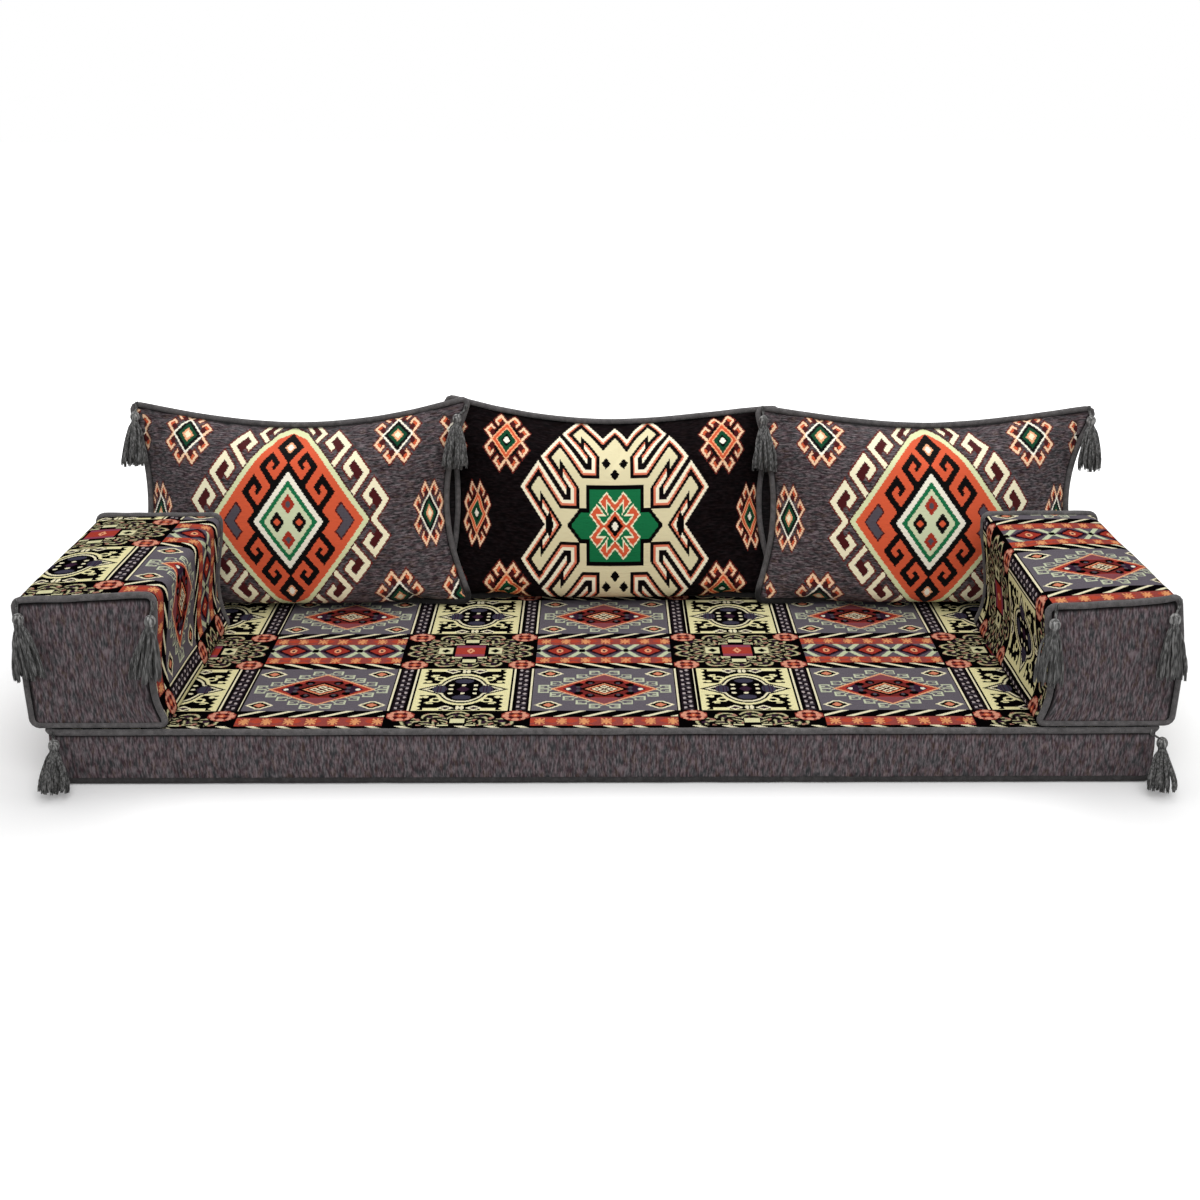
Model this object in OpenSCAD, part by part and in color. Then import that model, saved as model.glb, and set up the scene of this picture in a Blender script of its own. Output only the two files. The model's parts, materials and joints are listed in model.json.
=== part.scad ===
// Majlis floor sofa: a floor mattress, two loose arm cushions and three loose back cushions.
// Millimetres. +Z is up, the front faces -Y, and the origin is the middle of the mattress's
// underside. Each cushion is a filling inside sewn panels, edged with piping, closed by a zip
// and hung with tassels.

/* [Mattress] */
// Width of the mattress, over its boxing
mattress_w = 1900; // [1500:10:2200]
// Depth of the mattress, front to back, over its boxing
mattress_d = 700; // [650:5:850]
// Height of the mattress, over its panels
mattress_h = 100; // [80:1:160]
// Radius of the mattress's upright corners
mattress_corner_r = 20; // [14:1:45]
// Width of the slope from the mattress's seam up to its crowned middle
crown_run = 45; // [25:1:90]

/* [Arm cushions] */
// Width of an arm cushion
arm_w = 236; // [180:1:300]
// Depth of an arm cushion, front to back
arm_d = 442; // [380:1:500]
// Height of an arm cushion
arm_h = 234; // [160:1:300]
// Radius of an arm cushion's long folded edges
arm_edge_r = 14; // [11:1:30]
// How far an arm cushion overhangs the mattress's end
arm_overhang = 20; // [0:1:40]
// How far an arm cushion's front stands behind the mattress's front
arm_setback = 4; // [4:1:60]

/* [Back cushions] */
// Width of a back cushion, from seam corner to seam corner
back_w = 692; // [640:1:720]
// Height of a back cushion, from seam corner to seam corner
back_h = 396; // [360:1:500]
// Thickness of a back cushion at its belly
back_t = 170; // [120:1:180]
// How far the top seam dips between its corners
top_dip = 42; // [10:1:50]
// How far the bottom seam rises between its corners
bottom_rise = 10; // [0:1:20]
// How far each side seam pulls in between its corners
side_pull = 40; // [25:1:50]
// Lean of the back cushions from upright, in degrees
back_lean = 19; // [12:1:25]
// Distance from the mattress's rear side in to the bottom seams of the side cushions
back_seat_inset = 136; // [115:1:150]
// How far the middle back cushion stands behind the two beside it
middle_setback = 31; // [31:1:60]
// Distance from the middle of the sofa to the middle of a side cushion
side_cushion_x = 640; // [636:1:690]

/* [Fabric and piping] */
// Thickness of the upholstery fabric
cloth_t = 2; // [1:0.1:3]
// Diameter of the piping cord
piping_d = 13; // [9:0.5:15]
// How far the piping's centre lies inside the planes of the panels it joins
piping_sink = 2; // [1:0.5:3]

/* [Tassels] */
// Diameter of a tassel's head
tassel_head_d = 19; // [14:0.5:22]
// Diameter of a tassel's neck, under the head
tassel_neck_d = 13; // [9:0.5:14]
// Diameter of a tassel's skirt at its cut end
tassel_skirt_d = 44; // [24:0.5:46]
// Length of an arm or back tassel's skirt
tassel_skirt_l = 96; // [60:1:110]
// Length of a mattress tassel's skirt
floor_skirt_l = 74; // [60:1:78]
// Diameter of the cord that hangs a tassel
hanger_d = 3; // [2:0.5:4]

/* [Zips] */
// Length of the zip in the back of the mattress
mattress_zip_l = 1400; // [800:10:1440]
// Length of the zip in an arm cushion's outer side
arm_zip_l = 350; // [240:5:360]
// Length of the zip in the back of a back cushion
back_zip_l = 320; // [200:5:330]
// Width of a zip's tape
zip_tape_w = 26; // [20:1:30]
// Width of the gap in the fabric that shows a zip's chain
zip_gap_w = 14; // [12:1:16]
// Width of a zip's chain
zip_chain_w = 6; // [4:0.5:6]
// Length of a zip's pull tab
zip_pull_l = 30; // [20:1:40]

/* [Hidden] */
$fn = 48;
eps = 0.01;
body_gap = 0.3;             // between pieces that move apart
fit_gap = 0.1;              // between a filling and the fabric round it
lip = 5;                    // from a side in to a bottom panel's edge, under the piping
piping_r = piping_d / 2;
groove_r = piping_r + fit_gap;
octagon_in = piping_r * cos(22.5);   // from an octagonal cord's middle to its flats
seam_t = 2 * piping_r * sin(22.5);   // thickness of a back cushion's edge, one flat of its cord

// Zip, in its own frame: along X, facing +Y, with the fabric's outer face at Y 0
zip_tape_t = 1.2;
zip_chain_t = 2.2;
zip_tape_y = -cloth_t;      // outer face of the tape
zip_sew = 6;                // tape past each end of the chain
slider_l = 12;
slider_wall = 1.3;
bail_r = 0.9;
bail_gap = 0.25;            // round the bail's bar
pull_t = 1.2;
pull_eye_r = 2.2;
pull_eye_w = 3.2;
chain_top_y = zip_tape_y + zip_chain_t;
slider_top_y = chain_top_y + body_gap + slider_wall;
bail_y = slider_top_y + pull_eye_r + 0.5;

// Tassel, hung from the middle of a piping cord at its own origin, down -Z, out to -Y
hanger_r = hanger_d / 2;
hanger_gap = 1;             // round the piping, which bends near a corner
hanger_ring_r = piping_r + hanger_gap + hanger_r;
hanger_start = 10;          // angle from upright, over the front, at which the cord starts
hanger_end = 60;            // and at which it leaves the piping
floor_hang = 50;            // how much lower a mattress tassel's cord lies on its piping
hanger_lap = 0.6;           // overlap of the cord's curved and straight lengths
head_out = piping_r + hanger_gap + tassel_head_d / 2 + 1;
head_drop = piping_r + tassel_head_d / 2;
tassel_splay = 7;           // degrees that an arm's tassel stands off the panel behind it
back_splay = 6;             // degrees that a back cushion's tassel stands off its cover
skirt_top = tassel_head_d * 0.42;
tassel_inset = piping_r + 5;         // from a boxed cushion's side to its tassel
floor_tassel_inset = 14;             // from the mattress's side to its tassel
floor_splay = 35;           // degrees that a mattress tassel stands out, to lie on the floor

// Places
crown_h = piping_r - piping_sink;           // the middle of the mattress, level with its piping
rest_z = mattress_h + crown_h + body_gap;   // underside of what stands on the mattress
arm_x = mattress_w / 2 + arm_overhang - arm_w / 2;
arm_y = -mattress_d / 2 + arm_setback + arm_d / 2;
arm_zip_z = 48;
zip_rise = 50;              // from a back cushion's bottom corners up to its zip

// Back cushion grid: closer together towards the seams
cells_u = 18;
cells_v = 12;
hang_cell = 1;              // cells from a corner to its tassel
top_curve = 1.7;            // power of the top seam's rise towards its corners

BACK_X = [-side_cushion_x, 0, side_cushion_x];
BACK_SHIFT = 24;            // the three back cushions stand this far to +X of the middle

grey_weave = [0.33, 0.31, 0.33];
black_weave = [0.07, 0.05, 0.05];
kilim_weave = [0.42, 0.27, 0.23];
piping_grey = [0.34, 0.35, 0.35];
foam_cream = [0.93, 0.88, 0.70];
zip_black = [0.10, 0.10, 0.11];
zip_metal = [0.62, 0.60, 0.56];

// ---------------------------------------------------------------- shared shapes

// A block with rounded upright edges, standing on Z 0, in the middle of X and Y
module rounded_block(w, d, h, r) {
  translate([-w / 2 + r, -d / 2, 0]) cube([w - 2 * r, d, h]);
  translate([-w / 2, -d / 2 + r, 0]) cube([w, d - 2 * r, h]);
  for (x = [-1, 1], y = [-1, 1])
    translate([x * (w / 2 - r), y * (d / 2 - r), 0]) cylinder(h = h, r = r);
}

// A cord of radius r round a rectangle w by d in the XY plane, turning its corners at turn_r
module cord_loop(w, d, turn_r, r) {
  for (side = [-1, 1]) {
    translate([-w / 2 + turn_r, side * d / 2, 0])
      rotate([0, 90, 0]) cylinder(h = w - 2 * turn_r, r = r);
    translate([side * w / 2, -d / 2 + turn_r, 0])
      rotate([-90, 0, 0]) cylinder(h = d - 2 * turn_r, r = r);
  }
  for (quarter = [0:3]) {
    x = (quarter == 0 || quarter == 3) ? 1 : -1;
    y = quarter < 2 ? 1 : -1;
    translate([x * (w / 2 - turn_r), y * (d / 2 - turn_r), 0])
      rotate([0, 0, 90 * quarter])
        rotate_extrude(angle = 90) translate([turn_r, 0]) circle(r = r);
  }
}

// ---------------------------------------------------------------- zips

module zip_chain_and_tape(chain_l) {
  color(zip_black) {
    translate([-chain_l / 2 - zip_sew, zip_tape_y - zip_tape_t, -zip_tape_w / 2])
      cube([chain_l + 2 * zip_sew, zip_tape_t, zip_tape_w]);
    translate([-chain_l / 2, zip_tape_y - eps, -zip_chain_w / 2])
      cube([chain_l, zip_chain_t + eps, zip_chain_w]);
  }
}

// Window in a panel that shows the chain
module zip_window(chain_l) {
  translate([-chain_l / 2, -cloth_t - 1, -zip_gap_w / 2])
    cube([chain_l, cloth_t + 2, zip_gap_w]);
}

// Room in the filling for the tape
module zip_pocket(chain_l, out = 0) {
  translate([-chain_l / 2 - zip_sew - fit_gap, zip_tape_y - zip_tape_t - fit_gap,
             -zip_tape_w / 2 - fit_gap])
    cube([chain_l + 2 * (zip_sew + fit_gap), zip_tape_t + 2 * fit_gap + out,
          zip_tape_w + 2 * fit_gap]);
}

function slider_x(chain_l) = chain_l / 2 - slider_l / 2 - 1;

// Slider: a saddle over the chain with a bail on its back
module zip_slider(chain_l) {
  inner_w = zip_chain_w + 2 * body_gap;
  outer_w = inner_w + 2 * slider_wall;
  foot_y = zip_tape_y + body_gap;
  post_w = 1.2;
  post_l = 4.4;
  post_in = pull_eye_w / 2 + bail_gap;
  color(zip_metal) translate([slider_x(chain_l), 0, 0]) {
    difference() {
      translate([-slider_l / 2, foot_y, -outer_w / 2])
        cube([slider_l, slider_top_y - foot_y, outer_w]);
      translate([-slider_l / 2 - 1, foot_y - 1, -inner_w / 2])
        cube([slider_l + 2, chain_top_y + body_gap - foot_y + 1, inner_w]);
    }
    for (side = [-1, 1])
      translate([-post_l / 2, slider_top_y - eps,
                 side * (post_in + post_w / 2) - post_w / 2])
        cube([post_l, bail_y + bail_r + 0.6 - slider_top_y, post_w]);
    translate([0, bail_y, -post_in - post_w / 2])
      cylinder(h = 2 * post_in + post_w, r = bail_r);
  }
}

// Pull tab, lying back over the chain
module zip_pull(chain_l) {
  tab_w = 5.2;
  neck_l = 4;
  color(zip_metal) translate([slider_x(chain_l), bail_y, 0])
    difference() {
      union() {
        translate([0, 0, -pull_eye_w / 2]) cylinder(h = pull_eye_w, r = pull_eye_r);
        translate([-neck_l - 1, -pull_t / 2, -pull_eye_w / 2])
          cube([neck_l, pull_t, pull_eye_w]);
        translate([-zip_pull_l, -pull_t / 2, -tab_w / 2])
          cube([zip_pull_l - neck_l, pull_t, tab_w]);
      }
      translate([0, 0, -pull_eye_w]) cylinder(h = 2 * pull_eye_w, r = bail_r + bail_gap);
      translate([-zip_pull_l + tab_w / 2, 2, 0])
        rotate([90, 0, 0]) cylinder(h = 4, r = 1.2);
    }
}

// ---------------------------------------------------------------- tassels

// A tassel with its hanging cord over the front of the piping, its skirt skirt_l long. The cord
// starts lower on the piping by lower degrees, to stay clear of what stands above.
module tassel(skirt_l, splay, lower = 0) {
  leave = hanger_end + lower;
  start = [-hanger_ring_r * sin(leave), hanger_ring_r * cos(leave)];
  head = [-head_out, -head_drop];
  reach = norm(head - start);
  slope = atan2(start[0] - head[0], start[1] - head[1]);
  color(piping_grey) {
    rotate([0, 90, 0]) rotate([0, 0, 180 + hanger_start + lower])
      rotate_extrude(angle = hanger_end - hanger_start) translate([hanger_ring_r, 0])
        circle(r = hanger_r);
    translate([0, start[0], start[1]]) rotate([180 - slope, 0, 0])
      translate([0, 0, -hanger_lap]) cylinder(h = reach + hanger_lap, r = hanger_r + 0.15);
    translate([0, head[0], head[1]]) rotate([-splay, 0, 0]) {
      sphere(d = tassel_head_d);
      rotate_extrude() tassel_profile(skirt_l);
    }
  }
}

// Half of the section through a neck and skirt, hanging down from the middle of the head
module tassel_profile(skirt_l) {
  neck_r = tassel_neck_d / 2;
  skirt_r = tassel_skirt_d / 2;
  band = 5;
  polygon([
    [0, -skirt_top + 2], [neck_r, -skirt_top + 2], [neck_r, -skirt_top - band],
    [neck_r + 1.5, -skirt_top - band - 6],
    [skirt_r * 0.78, -skirt_top - band - skirt_l * 0.45],
    [skirt_r, -skirt_top - skirt_l + 6],
    [skirt_r - 2, -skirt_top - skirt_l], [0, -skirt_top - skirt_l]
  ]);
}

// ---------------------------------------------------------------- mattress

module mattress_piping_at(z, r) {
  translate([0, 0, z])
    cord_loop(mattress_w - 2 * piping_sink, mattress_d - 2 * piping_sink,
              mattress_corner_r - piping_sink, r);
}

top_piping_z = mattress_h - piping_sink;
bottom_piping_z = piping_r + 0.5;

module mattress_zip_frame() {
  translate([0, mattress_d / 2, mattress_h / 2]) children();
}

// The mattress's crowned top, down by drop and in by inset, on a slab base_t thick
module mattress_crown(drop, inset, base_t) {
  translate([0, 0, -drop]) hull() {
    translate([0, 0, mattress_h - base_t])
      rounded_block(mattress_w - 2 * inset, mattress_d - 2 * inset, base_t,
                    mattress_corner_r - inset);
    translate([0, 0, mattress_h])
      rounded_block(mattress_w - 2 * crown_run, mattress_d - 2 * crown_run, crown_h,
                    mattress_corner_r);
  }
}

module mattress_foam() {
  inset = cloth_t + fit_gap;
  color(foam_cream) difference() {
    union() {
      translate([0, 0, inset])
        rounded_block(mattress_w - 2 * inset, mattress_d - 2 * inset,
                      mattress_h - 2.5 * inset, mattress_corner_r - inset);
      mattress_crown(inset, lip, inset);
    }
    mattress_piping_at(top_piping_z, groove_r);
    mattress_piping_at(bottom_piping_z, groove_r);
    mattress_zip_frame() zip_pocket(mattress_zip_l);
  }
}

module mattress_bottom_panel() {
  color(grey_weave) difference() {
    rounded_block(mattress_w - 2 * lip, mattress_d - 2 * lip, cloth_t,
                  mattress_corner_r - lip);
    mattress_piping_at(bottom_piping_z, groove_r);
  }
}

module mattress_top_panel() {
  color(kilim_weave) difference() {
    mattress_crown(0, lip, cloth_t);
    mattress_crown(cloth_t, lip - 1, cloth_t);
    mattress_piping_at(top_piping_z, groove_r);
  }
}

module mattress_bottom_piping() {
  color(piping_grey) mattress_piping_at(bottom_piping_z, piping_r);
}

module mattress_top_piping() {
  color(piping_grey) mattress_piping_at(top_piping_z, piping_r);
}

module mattress_boxing() {
  color(grey_weave) difference() {
    translate([0, 0, cloth_t])
      rounded_block(mattress_w, mattress_d, mattress_h - 2 * cloth_t, mattress_corner_r);
    translate([0, 0, cloth_t - 1])
      rounded_block(mattress_w - 2 * cloth_t, mattress_d - 2 * cloth_t, mattress_h,
                    mattress_corner_r - cloth_t);
    mattress_piping_at(top_piping_z, groove_r);
    mattress_piping_at(bottom_piping_z, groove_r);
    mattress_zip_frame() zip_window(mattress_zip_l);
  }
}

module mattress_tassel(side) {
  translate([side * (mattress_w / 2 - floor_tassel_inset), -mattress_d / 2 + piping_sink,
             top_piping_z])
    tassel(floor_skirt_l, floor_splay, floor_hang);
}

// ---------------------------------------------------------------- arm cushions

// An arm cushion stands on Z 0 in the middle of X and Y; its outer side faces -X.
module arm_frame(side) {
  translate([0, arm_y, rest_z])
    if (side < 0) translate([-arm_x, 0, 0]) children();
    else mirror([1, 0, 0]) translate([-arm_x, 0, 0]) children();
}

// A bar of the arm's section, long in Y
module arm_bar(inset, from_y, to_y) {
  translate([0, to_y, inset]) rotate([90, 0, 0])
    translate([0, (arm_h - 2 * inset) / 2, 0])
      rounded_block(arm_w - 2 * inset, arm_h - 2 * inset, to_y - from_y, arm_edge_r - inset);
}

module arm_piping_at(end, r) {
  low = piping_r + 0.5;
  high = arm_h - piping_sink;
  translate([0, end * (arm_d / 2 - piping_sink), (low + high) / 2]) rotate([90, 0, 0])
    cord_loop(arm_w - 2 * piping_sink, high - low, arm_edge_r - piping_sink, r);
}

module arm_grooves() {
  arm_piping_at(-1, groove_r);
  arm_piping_at(1, groove_r);
}

module arm_zip_frame() {
  translate([-arm_w / 2, 0, arm_zip_z]) rotate([0, 0, 90]) children();
}

module arm_foam() {
  inset = cloth_t + fit_gap;
  color(foam_cream) difference() {
    arm_bar(inset, -arm_d / 2 + inset, arm_d / 2 - inset);
    arm_grooves();
    arm_zip_frame() zip_pocket(arm_zip_l);
  }
}

module arm_wrap() {
  color(kilim_weave) difference() {
    arm_bar(0, -arm_d / 2 + lip, arm_d / 2 - lip);
    arm_bar(cloth_t, -arm_d / 2, arm_d / 2);
    arm_grooves();
    arm_zip_frame() zip_window(arm_zip_l);
  }
}

module arm_panel(end) {
  color(grey_weave) difference() {
    arm_bar(0, end < 0 ? -arm_d / 2 : arm_d / 2 - cloth_t,
            end < 0 ? -arm_d / 2 + cloth_t : arm_d / 2);
    arm_grooves();
    translate([-arm_w, -arm_d, -1]) cube([2 * arm_w, 2 * arm_d, piping_r + 1]);
  }
}

module arm_piping(end) {
  color(piping_grey) arm_piping_at(end, piping_r);
}

module arm_tassel(side) {
  translate([side * (arm_w / 2 - tassel_inset), -arm_d / 2 + piping_sink,
             arm_h - piping_sink])
    tassel(tassel_skirt_l, tassel_splay);
}

// ---------------------------------------------------------------- back cushions

// A back cushion is centred on its own origin: X across, Z up its face, -Y its front.

function grid(i, cells) = sin(90 * (2 * i / cells - 1));

// Shares of the full width and height that round a seam's corners a little
function ear(u, v) = 1 - 0.02 * pow(abs(u * v), 10);

function seam_x(u, v) = u * (back_w / 2 - side_pull * (1 - v * v)) * ear(u, v);
function seam_z(u, v) =
  let (top = back_h / 2 - top_dip * (1 - pow(abs(u), top_curve)),
       bottom = -back_h / 2 + bottom_rise * (1 - u * u))
  (bottom + (top - bottom) * (v + 1) / 2) * ear(u, v);

// Half the cushion's thickness, fuller up and down its middle than towards its ears
function half_thick(u, v) =
  seam_t / 2 + (back_t - seam_t) / 2
    * pow(max(0, 1 - pow(abs(u), 2.2)), 0.8) * pow(max(0, 1 - pow(abs(v), 2.4)), 0.62);

// One face of the cushion, in by an inset, towards -Y for side -1 and +Y for side 1
function face_points(side, inset) = [
  for (j = [0:cells_v], i = [0:cells_u])
    let (u = grid(i, cells_u), v = grid(j, cells_v))
    [seam_x(u, v), side * (half_thick(u, v) - inset), seam_z(u, v)]
];

row = cells_u + 1;
face_count = row * (cells_v + 1);

// Triangles over one face; turned the other way round for the face behind
function face_triangles(first, turned) = [
  for (j = [0:cells_v - 1], i = [0:cells_u - 1], half = [0, 1])
    let (a = first + j * row + i, b = a + 1, c = b + row, d = a + row,
         t = half == 0 ? [a, b, c] : [a, c, d])
    turned ? [t[2], t[1], t[0]] : t
];

// Grid indices once round the seam, from the bottom left corner and anticlockwise
seam_loop = concat(
  [for (i = [0:cells_u - 1]) i],
  [for (j = [0:cells_v - 1]) j * row + cells_u],
  [for (i = [cells_u:-1:1]) cells_v * row + i],
  [for (j = [cells_v:-1:1]) j * row]
);

// The solid between two faces that share the seam's outline, front one first
module between_faces(front, rear) {
  rim = [for (k = [0:len(seam_loop) - 1], half = [0, 1])
    let (a = seam_loop[k], b = seam_loop[(k + 1) % len(seam_loop)],
         t = half == 0 ? [a, face_count + a, face_count + b] : [a, face_count + b, b])
    t];
  polyhedron(points = concat(front, rear),
             faces = concat([for (t = face_triangles(0, false)) [t[2], t[1], t[0]]],
                            face_triangles(face_count, false),
                            [for (t = rim) [t[2], t[1], t[0]]]));
}

function seam_point(k) =
  let (n = seam_loop[(k + len(seam_loop)) % len(seam_loop)],
       u = grid(n % row, cells_u), v = grid(floor(n / row), cells_v))
  [seam_x(u, v), seam_z(u, v)];

// Outward step from a seam corner to the middle of the cord, with the corner mitred
function seam_step(k) =
  let (before = seam_point(k) - seam_point(k - 1), after = seam_point(k + 1) - seam_point(k),
       a = before / norm(before), b = after / norm(after), t = a + b, along = t / norm(t),
       miter = 1 / (along * a))
  [along[1], -along[0]] * miter;

// Piping: an octagonal cord round the seam, one flat against the covers' edges
module back_piping() {
  count = len(seam_loop);
  points = [for (k = [0:count - 1], s = [0:7])
    let (step = seam_step(k), middle = seam_point(k) + step * octagon_in,
         a = 45 * s + 22.5, out = middle + step * piping_r * cos(a))
    [out[0], piping_r * sin(a), out[1]]];
  color(piping_grey) polyhedron(points = points, faces = [
    for (k = [0:count - 1], s = [0:7], half = [0, 1])
      let (a = k * 8 + s, b = k * 8 + (s + 1) % 8,
           c = ((k + 1) % count) * 8 + (s + 1) % 8, d = ((k + 1) % count) * 8 + s)
      half == 0 ? [a, b, c] : [a, c, d]
  ]);
}

// The zip's place: on the rear cover, tangent to it at the middle
zip_v = -1 + 2 * (zip_rise - bottom_rise) / (back_h - top_dip - bottom_rise);
zip_slope = atan2(half_thick(0, zip_v + 0.01) - half_thick(0, zip_v - 0.01),
                  seam_z(0, zip_v + 0.01) - seam_z(0, zip_v - 0.01));

module back_zip_frame() {
  translate([0, half_thick(0, zip_v), seam_z(0, zip_v)]) rotate([-zip_slope, 0, 0])
    children();
}

zip_cut_out = 30;           // clears the cover and the filling outside the tape

module back_filling() {
  color(foam_cream) difference() {
    between_faces(face_points(-1, cloth_t), face_points(1, cloth_t));
    back_zip_frame() zip_pocket(back_zip_l, zip_cut_out);
  }
}

module back_front_cover(shade) {
  color(shade) between_faces(face_points(-1, 0), face_points(-1, cloth_t));
}

module back_rear_cover() {
  color(grey_weave) difference() {
    between_faces(face_points(1, cloth_t), face_points(1, 0));
    back_zip_frame() zip_pocket(back_zip_l, zip_cut_out);
  }
}

// The seam point that a tassel hangs from, on the top seam near a corner
function hang_point(side) =
  let (n = cells_u + cells_v + (side > 0 ? hang_cell : cells_u - hang_cell))
  seam_point(n) + seam_step(n) * octagon_in;

// A tassel hangs over the front of its cushion unless it is thrown over the back.
module back_tassel(side, thrown_back) {
  at = hang_point(side);
  translate([at[0], 0, at[1]])
    if (thrown_back) mirror([0, 1, 0]) tassel(tassel_skirt_l, back_lean);
    else tassel(tassel_skirt_l, back_splay);
}

// From a back cushion's middle down to the middle of its cord at its lowest corners
back_ring_drop = octagon_in - min([for (k = [0:len(seam_loop) - 1]) seam_point(k)[1]]);

// Stands cushion index on the mattress, leaning back on its bottom cord
module back_frame(index) {
  translate([BACK_X[index] + BACK_SHIFT,
             mattress_d / 2 - back_seat_inset + (index == 1 ? middle_setback : 0),
             rest_z + piping_r])
    rotate([-back_lean, 0, 0]) translate([0, 0, back_ring_drop]) children();
}

// ---------------------------------------------------------------- the sofa

mattress_foam();
mattress_bottom_panel();
mattress_boxing();
mattress_top_panel();
mattress_bottom_piping();
mattress_top_piping();
mattress_zip_frame() zip_chain_and_tape(mattress_zip_l);  // mattress_zip
mattress_zip_frame() zip_slider(mattress_zip_l);  // mattress_zip_slider
mattress_zip_frame() zip_pull(mattress_zip_l);  // mattress_zip_pull
mattress_tassel(-1);  // mattress_left_tassel
mattress_tassel(1);  // mattress_right_tassel

arm_frame(-1) arm_foam();  // left_arm_foam
arm_frame(-1) arm_wrap();  // left_arm_wrap
arm_frame(-1) arm_panel(-1);  // left_arm_front_panel
arm_frame(-1) arm_panel(1);  // left_arm_rear_panel
arm_frame(-1) arm_piping(-1);  // left_arm_front_piping
arm_frame(-1) arm_piping(1);  // left_arm_rear_piping
arm_frame(-1) arm_zip_frame() zip_chain_and_tape(arm_zip_l);  // left_arm_zip
arm_frame(-1) arm_zip_frame() zip_slider(arm_zip_l);  // left_arm_zip_slider
arm_frame(-1) arm_zip_frame() zip_pull(arm_zip_l);  // left_arm_zip_pull
arm_frame(-1) arm_tassel(-1);  // left_arm_outer_tassel
arm_frame(-1) arm_tassel(1);  // left_arm_inner_tassel

arm_frame(1) arm_foam();  // right_arm_foam
arm_frame(1) arm_wrap();  // right_arm_wrap
arm_frame(1) arm_panel(-1);  // right_arm_front_panel
arm_frame(1) arm_panel(1);  // right_arm_rear_panel
arm_frame(1) arm_piping(-1);  // right_arm_front_piping
arm_frame(1) arm_piping(1);  // right_arm_rear_piping
arm_frame(1) arm_zip_frame() zip_chain_and_tape(arm_zip_l);  // right_arm_zip
arm_frame(1) arm_zip_frame() zip_slider(arm_zip_l);  // right_arm_zip_slider
arm_frame(1) arm_zip_frame() zip_pull(arm_zip_l);  // right_arm_zip_pull
arm_frame(1) arm_tassel(-1);  // right_arm_outer_tassel
arm_frame(1) arm_tassel(1);  // right_arm_inner_tassel

back_frame(0) back_filling();  // left_back_filling
back_frame(0) back_front_cover(grey_weave);  // left_back_front_cover
back_frame(0) back_rear_cover();  // left_back_rear_cover
back_frame(0) back_piping();  // left_back_piping
back_frame(0) back_zip_frame() zip_chain_and_tape(back_zip_l);  // left_back_zip
back_frame(0) back_zip_frame() zip_slider(back_zip_l);  // left_back_zip_slider
back_frame(0) back_zip_frame() zip_pull(back_zip_l);  // left_back_zip_pull
back_frame(0) back_tassel(-1, thrown_back = false);  // left_back_left_tassel
back_frame(0) back_tassel(1, thrown_back = false);  // left_back_right_tassel

back_frame(1) back_filling();  // middle_back_filling
back_frame(1) back_front_cover(black_weave);  // middle_back_front_cover
back_frame(1) back_rear_cover();  // middle_back_rear_cover
back_frame(1) back_piping();  // middle_back_piping
back_frame(1) back_zip_frame() zip_chain_and_tape(back_zip_l);  // middle_back_zip
back_frame(1) back_zip_frame() zip_slider(back_zip_l);  // middle_back_zip_slider
back_frame(1) back_zip_frame() zip_pull(back_zip_l);  // middle_back_zip_pull
back_frame(1) back_tassel(-1, thrown_back = true);  // middle_back_left_tassel
back_frame(1) back_tassel(1, thrown_back = true);  // middle_back_right_tassel

back_frame(2) back_filling();  // right_back_filling
back_frame(2) back_front_cover(grey_weave);  // right_back_front_cover
back_frame(2) back_rear_cover();  // right_back_rear_cover
back_frame(2) back_piping();  // right_back_piping
back_frame(2) back_zip_frame() zip_chain_and_tape(back_zip_l);  // right_back_zip
back_frame(2) back_zip_frame() zip_slider(back_zip_l);  // right_back_zip_slider
back_frame(2) back_zip_frame() zip_pull(back_zip_l);  // right_back_zip_pull
back_frame(2) back_tassel(-1, thrown_back = false);  // right_back_left_tassel
back_frame(2) back_tassel(1, thrown_back = false);  // right_back_right_tassel
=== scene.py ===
"""Looks of a majlis floor sofa: mattress, arms and back cushions in kilim and chenille."""
import json
import random
from math import atan2, copysign, cos, exp, hypot, pi, radians, sin, sqrt

import bmesh
import bpy
from mathutils import Matrix, Vector, kdtree, noise


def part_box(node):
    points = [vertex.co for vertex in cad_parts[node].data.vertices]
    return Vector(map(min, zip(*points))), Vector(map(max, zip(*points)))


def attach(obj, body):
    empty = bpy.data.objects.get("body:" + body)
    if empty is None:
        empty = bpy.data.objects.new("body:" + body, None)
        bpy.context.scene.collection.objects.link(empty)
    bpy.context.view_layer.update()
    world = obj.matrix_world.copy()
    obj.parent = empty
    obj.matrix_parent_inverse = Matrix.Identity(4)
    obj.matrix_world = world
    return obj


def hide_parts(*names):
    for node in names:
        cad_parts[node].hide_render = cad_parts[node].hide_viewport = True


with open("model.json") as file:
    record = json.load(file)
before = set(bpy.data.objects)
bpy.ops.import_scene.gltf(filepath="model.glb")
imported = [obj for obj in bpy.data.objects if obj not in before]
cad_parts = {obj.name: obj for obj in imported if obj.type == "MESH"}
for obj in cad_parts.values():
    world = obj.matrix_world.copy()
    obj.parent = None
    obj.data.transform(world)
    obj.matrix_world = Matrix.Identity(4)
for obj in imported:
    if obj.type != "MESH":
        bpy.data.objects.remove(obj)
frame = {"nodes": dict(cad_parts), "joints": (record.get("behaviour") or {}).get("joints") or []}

bl_info = {
    "name": "Majlis floor sofa",
    "version": (1, 0, 0),
    "blender": (4, 5, 0),
    "location": "View3D > Sidebar > Sofa",
    "description": "Sews the covers, piping and tassels of a floor sofa round its packed model",
    "category": "Object",
}

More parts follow.
